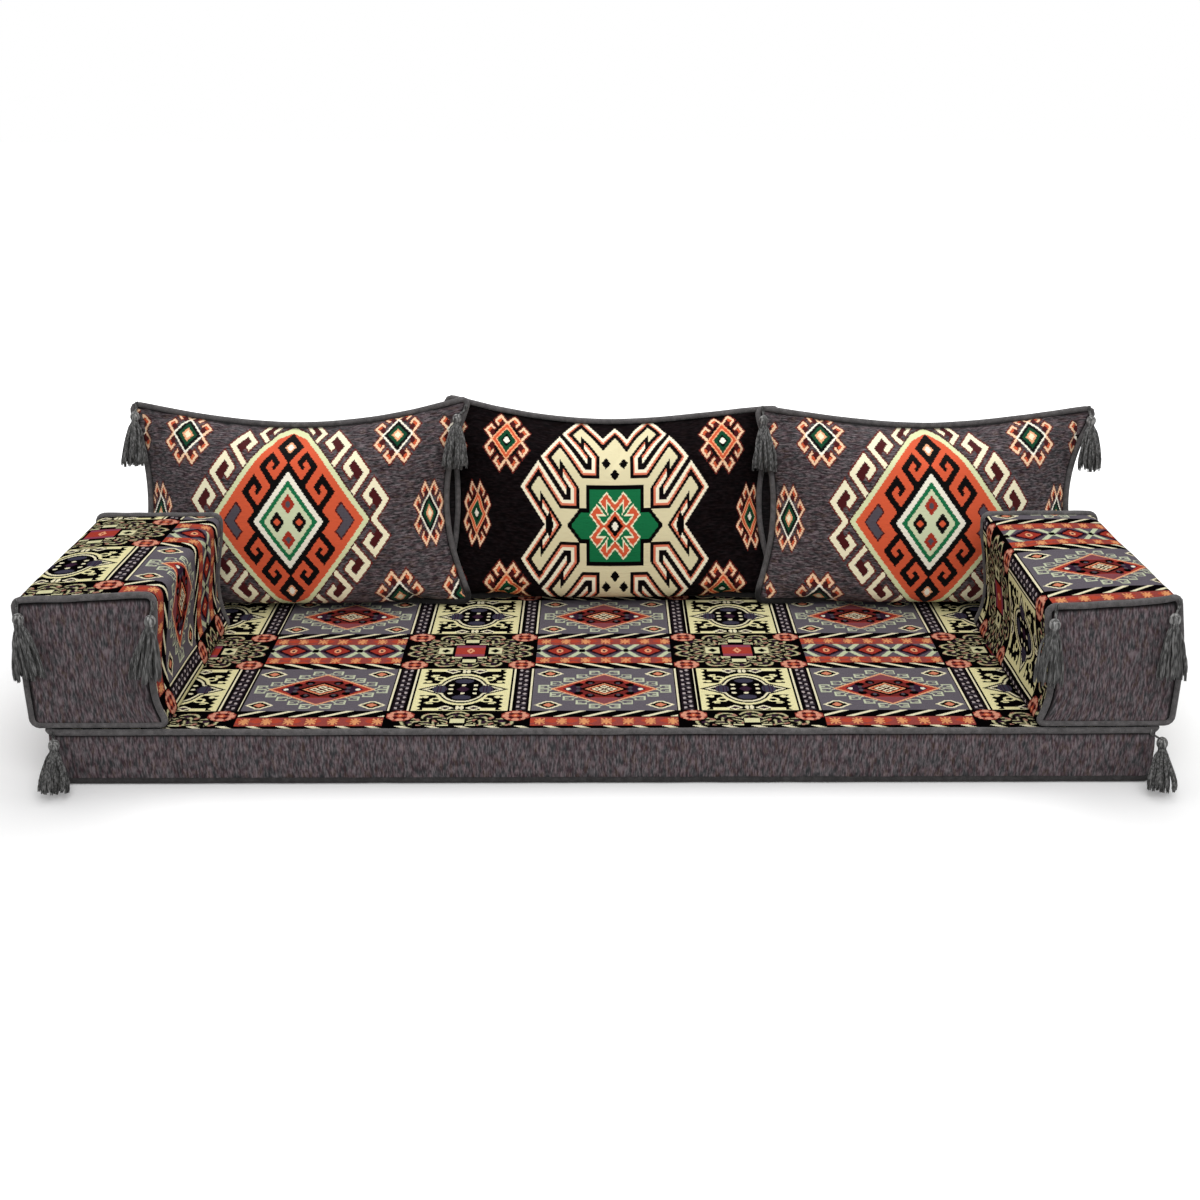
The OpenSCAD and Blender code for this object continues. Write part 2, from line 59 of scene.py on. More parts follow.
NODES = frame["nodes"]
JOINTS = {j["name"]: j for j in frame["joints"]}
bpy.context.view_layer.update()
BACKS = ("left_back", "middle_back", "right_back")
ARMS = ("left_arm", "right_arm")


# ---- settings

COLOUR = {"subtype": "COLOR", "size": 3, "min": 0, "max": 1}


class SofaFabric(bpy.types.PropertyGroup):
    """Colours of the plain weaves and yarns."""
    chenille: bpy.props.FloatVectorProperty(
        name="Chenille", description="Ground colour of the grey chenille",
        default=(0.085, 0.070, 0.074), **COLOUR)
    piping: bpy.props.FloatVectorProperty(
        name="Piping", description="Colour of the felted piping",
        default=(0.100, 0.094, 0.095), **COLOUR)
    yarn: bpy.props.FloatVectorProperty(
        name="Tassel yarn", description="Colour of the tassel yarn",
        default=(0.150, 0.148, 0.145), **COLOUR)


class SofaPadding(bpy.types.PropertyGroup):
    """How full the soft pieces are."""
    crown: bpy.props.FloatProperty(
        name="Mattress crown", description="Height of the mattress's top over its seams",
        default=0.004, min=0, max=0.01, unit="LENGTH")
    belly: bpy.props.FloatProperty(
        name="Arm belly", description="How far an arm cushion's panels swell past its seams",
        default=0.005, min=0, max=0.01, unit="LENGTH")
    pressure: bpy.props.FloatProperty(
        name="Cushion pressure", description="Pressure of the filling in the back cushions",
        default=4.0, min=0, max=10)
    cap: bpy.props.FloatProperty(
        name="Cushion give", description="Most that a back cushion's cloth moves as it fills",
        default=0.012, min=0, max=0.03, unit="LENGTH")


class SofaYarn(bpy.types.PropertyGroup):
    """Tassels and cords."""
    locks: bpy.props.IntProperty(
        name="Locks", description="Locks of yarn in each tassel's skirt",
        default=30, min=8, max=60)
    plies: bpy.props.IntProperty(
        name="Plies", description="Strands in each lock", default=3, min=1, max=5)
    strand_radius: bpy.props.FloatProperty(
        name="Strand radius", description="Radius of one strand",
        default=0.0014, min=0.0005, max=0.003, unit="LENGTH")
    flare: bpy.props.FloatProperty(
        name="Flare", description="Half the width of a skirt at its cut end",
        default=0.026, min=0.008, max=0.030, unit="LENGTH")


class SofaStage(bpy.types.PropertyGroup):
    """Camera and lights."""
    lens: bpy.props.FloatProperty(
        name="Lens", description="Focal length of the camera",
        default=43.36, min=20, max=120, unit="CAMERA")
    key: bpy.props.FloatProperty(
        name="Key light", description="Power of the broad light over the front",
        default=60.0, min=0, unit="POWER")
    fill: bpy.props.FloatProperty(
        name="Fill", description="Strength of the room's even light", default=0.52, min=0)


# ---- shader maths

def maths(operation):
    """A method that adds a Math node of one operation."""
    return lambda self, *others: self.loom.work(operation, self, *others)


class Thread:
    """A shader value that is worked out with plain arithmetic."""

    def __init__(self, loom, socket):
        self.loom = loom
        self.socket = socket

    def __rsub__(self, other):
        return self.loom.work("SUBTRACT", other, self)

    __add__ = __radd__ = maths("ADD")
    __sub__ = maths("SUBTRACT")
    __mul__ = __rmul__ = maths("MULTIPLY")
    __truediv__ = maths("DIVIDE")
    __mod__ = maths("FLOORED_MODULO")
    __abs__ = maths("ABSOLUTE")
    __and__ = __rand__ = maths("MINIMUM")
    __or__ = __ror__ = maths("MAXIMUM")
    __lt__ = maths("LESS_THAN")
    __gt__ = maths("GREATER_THAN")
    near, wrap, angle = maths("COMPARE"), maths("WRAP"), maths("ARCTAN2")
    floor, root, sine = maths("FLOOR"), maths("SQRT"), maths("SINE")

    def within(self, low, high):
        """1 where the value lies from low to high."""
        return self.near((low + high) / 2, (high - low) / 2)

    def stitch(self, step):
        """The value in whole stitches, each taken at its middle."""
        return self.loom.work("SNAP", self, step) + step / 2

    def wave(self, period, middle=0.0):
        """The value counted from the nearest of the marks one period apart, signed."""
        return (self + (period / 2 - middle)) % period - period / 2


class Loom:
    """Builds the nodes of one material, or of the room's light."""

    def __init__(self, name, holder=None):
        self.holder = holder or bpy.data.materials.new("sofa_" + name)
        self.holder.use_nodes = True
        self.tree = self.holder.node_tree
        self.tree.nodes.clear()

    def node(self, kind, sockets=(), output=0, **settings):
        """Adds a node: its settings first, then its sockets, by place or by name."""
        made = self.tree.nodes.new(kind)
        for name, value in settings.items():
            if name == "ramp":
                stops = made.color_ramp.elements
                while len(stops) > 1:
                    stops.remove(stops[-1])
                for number, (place, colour) in enumerate(value):
                    stop = stops[0] if number == 0 else stops.new(place)
                    stop.position = place
                    stop.color = (*colour, 1.0)
            else:
                setattr(made, name, value)
        for key, value in (sockets.items() if isinstance(sockets, dict) else enumerate(sockets)):
            self.join(made.inputs[key], value)
        return Thread(self, made.outputs[output])

    def join(self, socket, value):
        if isinstance(value, Thread):
            self.tree.links.new(value.socket, socket)
        elif not isinstance(value, (int, float)) and len(socket.default_value) > len(value):
            socket.default_value = (*value, 1.0)
        else:
            socket.default_value = value

    def close(self, surface, kind="Material"):
        """Joins a surface to the output, and hands over what was built."""
        self.join(self.tree.nodes.new("ShaderNodeOutput" + kind).inputs[0], surface)
        return self.holder

    def work(self, operation, *values):
        return self.node("ShaderNodeMath", values, operation=operation)

    def split(self, vector):
        """The first two parts of a vector."""
        made = self.node("ShaderNodeSeparateXYZ", [vector]).socket.node
        return [Thread(self, part) for part in made.outputs[:2]]

    def uv(self):
        """The piece's own cloth coordinates, in metres, as a pair of values."""
        return self.split(self.node("ShaderNodeUVMap", uv_map="cloth"))

    def stitches(self, step):
        """The cloth coordinates as they are, and in millimetres, stitch by stitch."""
        u, v = self.uv()
        return u, v, (u * 1000).stitch(step), (v * 1000).stitch(step)

    def painted_seam_shade(self):
        """Painted shade: a level that falls beside the piece's sewn edges, read from its seam
        attribute.
        """
        return 1 - self.node("ShaderNodeAttribute", output=2, attribute_name="seam") * PAINTED_SEAM_SHADE

    def place(self):
        return self.node("ShaderNodeTexCoord", output=3)

    def noise(self, at, scale, detail=2.0, rough=0.5, stretch=(1, 1, 1)):
        if stretch != (1, 1, 1):
            at = self.node("ShaderNodeMapping", {"Vector": at, "Scale": stretch})
        return self.node("ShaderNodeTexNoise", {
            "Vector": at, "Scale": scale, "Detail": detail, "Roughness": rough})

    def grain(self, x, y, layer=0.0, detail=2.0, rough=0.5):
        """Noise over the cloth, with as many grains as x and y say."""
        return self.noise(self.node("ShaderNodeCombineXYZ", [x, y, layer]), 1.0, detail, rough)

    def ramp(self, value, ground, *stops):
        """Colours a value: at each stop's place, the ground times one level or three."""
        return self.node("ShaderNodeValToRGB", [value], ramp=[
            (place, [c * k for c, k in zip(ground, level if isinstance(level, tuple)
                                           else (level, level, level))])
            for place, level in stops])

    def mix(self, mask, under, over):
        """Paints the colour over on the colour under where the mask is 1."""
        return self.node("ShaderNodeMix", {0: mask, 6: under, 7: over}, output=2,
                         data_type="RGBA")

    def paint(self, under, *coats):
        """Lays coats of colour one over the other, each where its mask is 1."""
        for mask, colour in coats:
            under = self.mix(mask, under, colour)
        return under

    def tone(self, colour, level):
        """Lightens or darkens a colour by a level round 1."""
        return self.node("ShaderNodeVectorMath", {0: colour, 3: level}, operation="SCALE")

    def finish(self, colour, rough, bump, depth, **fixed):
        """Closes the material with a Principled surface, in relief by bump."""
        relief = self.node("ShaderNodeBump", {"Height": bump, "Distance": depth, "Strength": 1.0})
        return self.close(self.node("ShaderNodeBsdfPrincipled", {
            "Base Color": colour, "Roughness": rough, "Normal": relief,
            **{name.replace("_", " "): value for name, value in fixed.items()}}))


# ---- plain finishes

PAINTED_SEAM_SHADE = 0.95  # how dark the painted shade is right beside a piece's sewn edge


def fabric():
    return bpy.context.scene.sofa_fabric


def chenille_colour(loom, u, v, ground):
    """Chenille: slubs along v, flecked with black, mauve, slate and brown."""
    tone = loom.grain(u * 320, v * 68, rough=0.6) * 0.72 + loom.grain(u * 110, v * 24, 3.0) * 0.28
    tint = loom.grain(u * 120, v * 40, 9.0, detail=1)
    shade = loom.ramp(tone, ground, (0.38, 0.05), (0.44, 0.36), (0.50, 0.98), (0.56, 1.66),
                      (0.62, 2.7))
    tinted = loom.ramp(tint, ground, (0.36, (0.80, 1.10, 1.12)), (0.50, (1.06, 0.98, 1.02)),
                       (0.58, (1.30, 0.86, 1.06)), (0.66, (1.34, 1.04, 0.78)))
    return loom.mix(0.36, shade, tinted), tone


def chenille_surface(loom, u, v, colour, tone, sheen=0.06):
    """Closes a chenille material: its nap in low relief over the weave."""
    rib = (v * 2600).sine() * 0.06 + (u * 2200).sine() * 0.05
    # The seam factor darkens the colour with painted shade beside the sewn edges.
    return loom.finish(loom.tone(colour, loom.painted_seam_shade()), 0.97, tone + rib, 0.0018,
                       Sheen_Weight=sheen, Sheen_Roughness=0.6, Specular_IOR_Level=0.03)


def chenille_finish(name, across=False):
    """Plain grey chenille, with its slubs up the cloth or across it."""
    loom = Loom(name)
    u, v = loom.uv()
    colour, tone = chenille_colour(loom, *((v, u) if across else (u, v)), fabric().chenille)
    return chenille_surface(loom, u, v, colour, tone)


def felt_finish(name, level=1.0):
    """Matt felted cord, faintly mottled and fuzzy."""
    loom = Loom(name)
    mottle = loom.noise(loom.place(), 95.0, detail=3, rough=0.6)
    fuzz = loom.noise(loom.place(), 620.0)
    # A level under 1 gives a darker copy of the felt: painted shade for a cord in shadow.
    colour = loom.ramp(mottle * 0.6 + fuzz * 0.4, [c * level for c in fabric().piping],
                       (0.34, 0.62), (0.52, 1), (0.68, 1.5))
    # The seam factor darkens the colour with painted shade beside the sewn edges.
    return loom.finish(loom.tone(colour, loom.painted_seam_shade()), 0.97, mottle * 0.5 + fuzz, 0.0009,
                       Sheen_Weight=0.12, Sheen_Roughness=0.5, Specular_IOR_Level=0.08)


def yarn_finish():
    """Loose twisted yarn: the ply runs slantwise round each strand."""
    loom = Loom("yarn")
    u, v = loom.uv()
    ply = (u * 2400 + v * 2600).sine()
    tint = loom.noise(loom.place(), 330.0, detail=1, stretch=(1, 1, 0.10))
    colour = loom.ramp(tint + ply * 0.03, fabric().yarn, (0.34, 0.30), (0.50, 1), (0.66, 2.3))
    return loom.finish(colour, 0.95, ply * 0.5 + tint, 0.0007, Sheen_Weight=0.15,
                       Sheen_Roughness=0.45, Specular_IOR_Level=0.1)


def zip_finish():
    """Black coil zip on its woven tape."""
    loom = Loom("zip")
    weave = loom.noise(loom.place(), 900.0, detail=1)
    coil = loom.node("ShaderNodeTexWave", {"Vector": loom.place(), "Scale": 230.0},
                     bands_direction="DIAGONAL")
    colour = loom.ramp(weave * 0.6 + coil * 0.4, (1, 1, 1), (0.3, (0.006, 0.006, 0.007)),
                       (0.7, (0.030, 0.030, 0.033)))
    return loom.finish(colour, 0.55, coil * 0.8 + weave * 0.4, 0.0005)


def metal_finish():
    """Nickel plate with light rubbing."""
    loom = Loom("metal")
    rub = loom.noise(loom.place(), 700.0, detail=3, stretch=(1, 1, 6))
    colour = loom.ramp(rub, (1, 1, 1), (0.35, (0.44, 0.42, 0.39)), (0.65, (0.66, 0.64, 0.60)))
    return loom.finish(colour, rub * 0.3 + 0.2, rub, 0.0001, Metallic=1.0)


# ---- woven patterns, in millimetres

def dye(red, green, blue):
    """A yarn's colour from its everyday 0 to 255 values."""
    return tuple((c / 255 + 0.055) ** 2.4 / 1.055 ** 2.4 if c > 10 else c / 255 / 12.92
                 for c in (red, green, blue))


KNOT, PICK = 2.2, 1.8  # one stitch of the medallions and of the kilim
BLACK, PURPLE, GREEN, MOSS = dye(7, 5, 6), dye(58, 36, 54), dye(26, 112, 68), dye(20, 70, 46)
MAROON, RUSSET, RED = dye(74, 24, 26), dye(108, 42, 36), dye(178, 66, 54)
ORANGE, PEACH, CREAM = dye(218, 93, 60), dye(240, 172, 128), dye(246, 238, 202)
STRAW, WHITE, MINT = dye(245, 237, 182), dye(248, 242, 224), dye(206, 212, 182)
GREY, MAUVE, SLATE = dye(106, 100, 108), dye(140, 78, 84), dye(84, 78, 86)
COLUMNS, ROWS = 509, 342  # one repeat of the kilim, across and along
COLUMN_HALF = 127.5  # half a grey column's width
BAND_HALF = 83  # half an eye band's height
FRONT_EDGE = -331  # where the kilim ends in a dashed edge, towards the front


def lozenge(x, y, half_x, half_y):
    """A value that is 1 on a lozenge's edge and less inside it."""
    return abs(x) * (1 / half_x) + abs(y) * (1 / half_y)


def gems(x, y, *stones):
    """Coats for lozenges one in the other: each one's half width, half height and colour."""
    return [(lozenge(x, y, half_x, half_y) < 1, colour) for half_x, half_y, colour in stones]


def nest(value, *bands):
    """Coats for bands one in the other: where each one ends, and its colour."""
    return [(value < end, colour) for end, colour in bands]


def disc(x, y, middle_x, middle_y, half_x, half_y):
    """1 inside an oval."""
    across, up = (x - middle_x) * (1 / half_x), (y - middle_y) * (1 / half_y)
    return across * across + up * up < 1.0


def latch_hooks(p, t, grow):
    """Hooks that stand on a diamond's edge: stem, top, back and return, each grown by grow."""
    stem = t.within(-grow, 12 + grow) & p.within(150, 218)
    top = p.within(206 - grow, 219 + grow) & t.within(-grow, 61 + grow)
    back = t.within(49.5 - grow, 61 + grow) & p.within(178, 218)
    end = p.within(176 - grow, 188 + grow) & t.within(31 - grow, 61 + grow)
    return stem | top | back | end


def star_hooks(p, r, grow):
    """The eight little hooks round a small lozenge."""
    stem = r.within(26.5 - grow, 33 + grow) & p.within(27, 62 + grow)
    top = p.within(56 - grow, 62 + grow) & r.within(6 - grow, 33 + grow)
    back = r.within(6 - grow, 12 + grow) & p.within(44 - grow, 62 + grow)
    return stem | top | back


def star_coats(x, y, shown, rings):
    """A small hooked lozenge round (0, 0): maroon shadow, hooks, rust filling and its rings."""
    rise, run = abs(y) * (1 / 1.4), abs(x)
    p, r = run + rise, abs(rise - run)
    coats = [(star_hooks(p, r, 3.5) & shown, RUSSET),
             (p.within(34, 57) & r.within(13, 27) & shown, MAROON),
             (p.within(49, 56) & r.within(13.5, 26) & shown, dye(208, 92, 58)),
             (star_hooks(p, r, 0.0) & shown, dye(247, 206, 168))]
    return coats + [((p < reach) & shown, colour) for reach, colour in rings]


def star_lattice(x, y, column, row, far):
    """Places of the small lozenges: two rows of pairs, and one pair half way between."""
    a, b = abs(x), abs(y)
    outer = b > row / 2
    along = a + outer * (far - column)
    squeeze = 1.4 - outer * 0.4
    return (along - far).wrap(68.0, -68.0) * squeeze, b - outer * row, along > far - 64


def medallion_grey_finish():
    """Grey chenille with a hooked orange diamond, for the front of the side cushions."""
    loom = Loom("medallion_grey")
    u, v, x, plain_y = loom.stitches(KNOT)
    ground, tone = chenille_colour(loom, v, u, fabric().chenille)
    fleck = loom.grain(u * 95, v * 330, 5.0, rough=0.6)
    ground = loom.tone(ground, 1.0 - (fleck < 0.455) * 0.60)
    y = plain_y - plain_y * plain_y * 0.00042
    a, rise = abs(x), abs(y) * (1 / 1.41)
    p, q = a + rise, rise - a
    tip = (a | (a * 0.45 + 16)) + rise
    t = (q + 181) % 77.5 - 8
    hooked = q.within(-179, 128)
    hook_p = (p - 150) * ((q > 52) * 0.55 + 0.93) + 150
    star_x, star_y, shown = star_lattice(x, plain_y, 213, 173, 285)
    upper = abs(abs(y) - 148) * (1 / 1.41) + a
    dark = (q + 52) % 67
    barb = (dark < 14) & p.within(80, 132) | p.within(118, 132) & (dark < 49) \
        | dark.within(35, 49) & p.within(99, 132) | p.within(97, 106) & dark.within(26, 49)
    colour = loom.paint(
        ground,
        *star_coats(star_x, star_y, shown, [
            (32.5, WHITE), (27.5, BLACK), (20, MOSS), (12, PEACH), (7, CREAM)]),
        (latch_hooks(hook_p, t, 3.6) & hooked, RUSSET),
        (hook_p.within(186, 208) & t.within(10, 51) & hooked, MAROON),
        (latch_hooks(hook_p, t, 0.0) & hooked, dye(248, 240, 206)),
        *nest(tip, (162.5, MAROON), (159.5, dye(222, 226, 178)), (148, ORANGE)),
        (p.within(106, 131) & (q < -76) & (q > -134), MAROON),
        (p.within(109, 128) & (q < -80), SLATE),
        (barb & q.within(-52, 80), BLACK),
        *nest(upper, (26.5, BLACK), (11, PEACH), (7, WHITE)),
        *nest(p, (82, BLACK), (69, WHITE), (57.5, GREEN), (48, dye(214, 222, 184))),
        *gems(a - 22, y, (15, 21.5, BLACK), (6.5, 9, ORANGE)),
        *gems(a, abs(y) - 35, (14, 19.5, dye(166, 52, 36)), (6, 8, SLATE)))
    return chenille_surface(loom, u, v, colour, tone)


def hook_ribbon_masks(a, b, p, q):
    """White, orange and cream of the ribbon that folds into three hooks, in one quarter."""
    s = (q + 171) % 84
    turn = ((q + 171) / 84).floor()
    step_a, step_b = a + turn * 41, b - turn * 61
    lowest = turn < 0.5
    box = (66 - s) & s & ((step_a - 113) * 1.2 + lowest * 90) & (step_b + 26) * 1.2
    edge = (238 - p) & (abs(s - 24.5) - 5.5)
    own_side = s > 24.5
    by_edge = (p > 212) | own_side & (step_a > 138)
    by_box = (p < 212) & ((1 - own_side) | (step_a < 144.4))
    crown = ((238 - p) & (102 - q)) | (150 - p)
    top = q > 81
    inside = (q > -141) & (p < 238)
    field = inside & (1 - top)
    white = field & (by_edge & edge.within(0, 7.5) | by_box & box.within(11, 18.5)) \
        | top & crown.within(0, 7.5)
    orange = field & (by_edge & edge.within(7.5, 11.5) | by_box & box.within(6.5, 11)) \
        | top & crown.within(7.5, 11.5)
    cream = field & ((box < -1.5) & (s < 66) | (s > 66) & (p < 216.5)
                     | s.within(51, 67) & (step_a > 150.5) & (p < 216.5)) \
        | top & (crown > 21.5)
    return white, orange, cream


def rayed_star_coats(x, y):
    """The orange star with arrow-headed rays in the green field."""
    a, rise = abs(x), abs(y) * (1 / 1.35)
    p, r = a + rise, abs(rise - a)

    def rays(grow):
        stem = r.within(22 - grow, 31 + grow) & p.within(22 - grow, 65 + grow)
        top = p.within(55 - grow, 65 + grow) & r.within(7 - grow, 31 + grow)
        head = (r > 6 - grow) & (r < 20) & (p - r * 1.15 > 33 - grow * 1.6) & (p < 65 + grow)
        return stem | top | head | p.within(16, 22 + grow)

    return [(rays(3.2), CREAM), (rays(0.0), ORANGE), *nest(p, (16, BLACK), (7.8, WHITE))]


def medallion_black_finish():
    """Black chenille with a green field in a folded ribbon, for the middle cushion's front."""
    loom = Loom("medallion_black")
    u, v, x, y = loom.stitches(KNOT)
    ground, tone = chenille_colour(loom, v, u, (0.0052, 0.0034, 0.0038))
    a, b = abs(x), abs(y)
    rise = b * (1 / 1.5)
    p, q = a + rise, rise - a
    white, orange, cream = hook_ribbon_masks(a, b, p, q)
    star_x, star_y, shown = star_lattice(x, y - 10, 220, 158, 291)
    reach = a + b * 0.75
    colour = loom.paint(
        ground,
        *star_coats(star_x, star_y, shown, [
            (32.5, PEACH), (29, ORANGE), (23, PEACH), (20, MOSS), (11, BLACK), (7, WHITE)]),
        (cream, dye(226, 216, 176)),
        (orange, dye(222, 122, 92)),
        (white, dye(250, 240, 212)),
        *gems(a - 131, b, (9, 30, BLACK)),
        *gems(a - 17.7, b - 127, (9.5, 13, BLACK)),
        *gems(a, b - 103, (9.5, 13, BLACK)),
        ((a < 58) & (b < 81) | (b < 35) & (reach < 96.4), BLACK),
        ((a < 51.5) & (b < 73.5) | (b < 27) & (reach < 87.3), GREEN),
        *rayed_star_coats(x, y))
    return chenille_surface(loom, u, v, colour, tone, 0.0)


def diamond_coats(x, y):
    """Grey column of the kilim: a hooked red diamond and a small lozenge in each corner."""
    a, b = abs(x), abs(y)
    p, q = a + b * 1.48, b * 1.48 - a
    turn_p, turn_q = p - 121, q.wave(46, -53)
    hook_a, hook_b = (turn_p - turn_q) * 0.5, (turn_p + turn_q) * 0.39
    square = abs(hook_a) | abs(hook_b)
    gap = (hook_a < 0) & hook_b.within(-5.5, 2.5)
    hook = square.within(6.3, 9.8) & (1 - gap) | (abs(hook_b) < 1.6) & hook_a.within(-1, 7)
    corner_x, corner_y = a - 99, b - 65
    corner = lozenge(corner_x, corner_y, 25, 19) | abs(corner_y) * (1 / 15)
    return [
        (hook & (q < 104), MINT),
        (turn_q.within(6, 11) & p.within(94, 114) & (q < 104), MINT),
        *nest(p, (97, PEACH), (90, RED)),
        ((p < 90) & (b > 36), MAUVE),
        ((p < 74) & (b < 34), dye(120, 44, 42)),
        *gems(a - 55, y, (20, 18, PURPLE)),
        (disc(a, b, 46, 18, 8, 7) | disc(a, b, 26, 27, 9, 8) | (p < 45), BLACK),
        (disc(a, b, 25, 24, 4, 4) | disc(a, b, 47, 7, 4, 5), SLATE),
        (disc(a, b, 65, 0, 4.5, 4.5), WHITE),
        *nest(p, (35, PEACH), (31, ORANGE), (27, MAROON)),
        *gems(a - 13, b, (10, 7.5, CREAM)),
        *gems(a, b - 9.5, (9.5, 7, CREAM)),
        (disc(a, b, 13, 0, 3.6, 2.8) | disc(a, b, 0, 9.5, 3.6, 2.6), MAROON),
        *nest(corner, (1, CREAM), (0.74, BLACK)),
        *gems(corner_x, corner_y, (10, 8, dye(222, 140, 108)))]


def vase_coats(x, y):
    """Straw column of the kilim: a pointed medallion with fans, and scrolls in the corners."""
    a, b = abs(x), abs(y)
    ring = ((a * a) * (1 / 36 ** 2) + (b * b) * (1 / 47 ** 2)).root()

    def pointed(reach, tip):
        return (ring < reach) | (lozenge(a, b, 82 * tip, 46 * tip) < 1)

    def curl(middle_a, middle_b, low, high):
        return disc(a, b, middle_a, middle_b, high, high * 0.8) \
            & (1 - disc(a, b, middle_a, middle_b, low, low * 0.8))

    scroll = curl(53, 60, 6.5, 12) & (1 - (a < 50) & (b < 58)) | a.within(49, 60) & b.within(57, 61)
    return [
        ((a + (b * 0.42).sine() * 3 < 72) & (b > 24) & (b < 86), BLACK),
        (scroll | (a.within(36, 64) & b.within(76.5, 85)), STRAW),
        (disc(a, b, 64, 32, 5.5, 5) | curl(45, 45, 6, 11), STRAW),
        *gems(a - 25, b - 77, (15, 10, CREAM), (9, 5, PURPLE)),
        (disc(a, b, 4, 76, 3.5, 8), CREAM),
        (pointed(1.40, 1.0) & (b > 20), STRAW),
        (pointed(1.25, 1.0), BLACK),
        (pointed(1.15, 0.90), CREAM),
        (pointed(1.04, 0.80), BLACK),
        (disc(a, b, 42, 0, 13, 16) | disc(a, b, 0, 34, 17, 9), dye(66, 64, 80)),
        ((a * 1.1).sine().within(-0.3, 0.3) & disc(a, b, 42, 0, 13, 16), PURPLE),
        *gems(a, b, (12, 14, PURPLE)),
        (disc(a, b, 22, 17, 4.4, 4) | disc(a, b, 22, 0, 4.2, 4) | disc(a, b, 0, 17, 4.2, 4), CREAM)]


def border_coats(x, y):
    """Dotted border beside the straw column: dots between two pale lines."""
    a = abs(x)
    dots = disc(a, y.wave(19), 112, 0, 3.0, 4.0) | disc(a, y.wave(19, 5), 102, 0, 3.0, 4.0)
    links = a.within(99, 115) & y.wave(19, 12).near(0, 1.3)
    return [
        (a > 84.5, BLACK),
        (a.within(97, 118), dye(30, 22, 28)),
        (links, SLATE),
        (dots, dye(186, 174, 174)),
        (a.within(88.5, 92) | a.within(121.5, 125), CREAM)]


def eye_coats(x, y):
    """Grey column of the eye band: eyes, a red stripe with stars and a barred stripe each side."""
    b = abs(y)
    eye_x, cross_x = x.wave(84.3), x.wave(84.3, 42.15)
    eye = lozenge(eye_x, y, 35, 30) | abs(eye_x) * (1 / 33)
    arms = abs(abs(cross_x) - b * 0.72) < 5.8
    star_x, star_y = abs(x.wave(38.2, 3)), abs(b - 44)
    star = (abs(star_x - star_y) < 2.3) & (star_x < 8.5) \
        | (star_x < 2.2) & (star_y < 10.5) | (star_y < 2.2) & (star_x < 9)
    bar = (x - b * 2 + 6) % 51.2
    patch = ((x * 0.19).sine() + (y * 0.31).sine()) > 0.35
    return [
        (arms & (b > 3), dye(206, 214, 178)),
        ((abs(cross_x) < 5) & (b < 7), BLACK),
        *nest(eye, (1, PURPLE), (0.82, BLACK), (0.68, dye(166, 58, 48))),
        (disc(eye_x, y, 0, 0, 6.5, 9), PEACH),
        (disc(eye_x, y, 0, 0, 2.6, 4.2), PURPLE),
        (b > 30, dye(156, 74, 68)),
        ((b > 30) & patch, dye(188, 76, 56)),
        (star & b.within(31, 57), dye(232, 160, 108)),
        (b > 57.5, BLACK),
        ((b > 59) & (bar < 14), CREAM)]


def wreath_coats(x, y):
    """Straw column of the eye band: a stepped cross in a wreath, with rosettes at its corners."""
    a, b = abs(x), abs(y)
    out = ((a * a) * (1 / 122 ** 2) + (b * b) * (1 / 80 ** 2)).root()
    around = (y * (1 / 80)).angle(x * (1 / 122))
    lobe, gap = abs((around * 7).sine()), abs((around * 7 + 1.57).sine())
    scallop = out - lobe * 0.16
    rings = (scallop * 42 - 1).sine()
    leaf = (scallop < 0.84) & (out > 0.76) & (lobe > 0.20) | out.within(0.46, 0.74) & (gap > 0.22)
    frame_line = (a < 16) & b.within(34, 55) | a.within(13, 60) & b.within(0, 16) \
        | a.within(13, 35) & b.within(16, 34)
    inner_line = (a < 8) & b.within(44, 50) | (a < 10.5) & (b < 44) | (a < 31) & (b < 30)
    rose_x, rose_y = abs(a - 100), abs(b - 64)
    rose = lozenge(a - 100, b - 64, 34, 27) | abs(a - 100) * (1 / 25) | abs(b - 64) * (1 / 20)
    bead = (around * 14 + 1).sine() * (out * 17).sine()
    return [
        (leaf & (rings > -0.35), dye(84, 82, 66)),
        (leaf & (rings > 0.45), dye(196, 190, 146)),
        (leaf & (bead > 0.62), dye(176, 128, 110)),
        (leaf & (bead < -0.72), PURPLE),
        (frame_line, BLACK),
        (a.within(34, 60) & (b < 14.5) | (a < 13) & b.within(39, 53)
         | a.within(15, 33.5) & b.within(27, 33), dye(228, 224, 178)),
        *gems(a - 47, b, (9, 9, BLACK)),
        (inner_line & (b < 29), BLACK),
        ((a < 28) & (b < 26), dye(146, 72, 92)),
        ((a < 28) & (b < 15), RED),
        *gems(a, b, (8, 13, PEACH), (3, 6, RED)),
        *nest(rose, (1.06, BLACK), (0.96, dye(158, 72, 62))),
        (disc(rose_x, rose_y, 17, 0, 5.5, 6.5) | disc(rose_x, rose_y, 0, 14, 7, 4.5)
         | disc(rose_x, rose_y, 13, 10, 5, 4.5), dye(226, 156, 130)),
        (disc(rose_x, rose_y, 7.5, 7, 4.5, 4), MAROON),
        (disc(rose_x, rose_y, 0, 0, 6.5, 5), dye(206, 96, 66)),
        (disc(rose_x, rose_y, 0, 0, 2.6, 2.4), PEACH)]


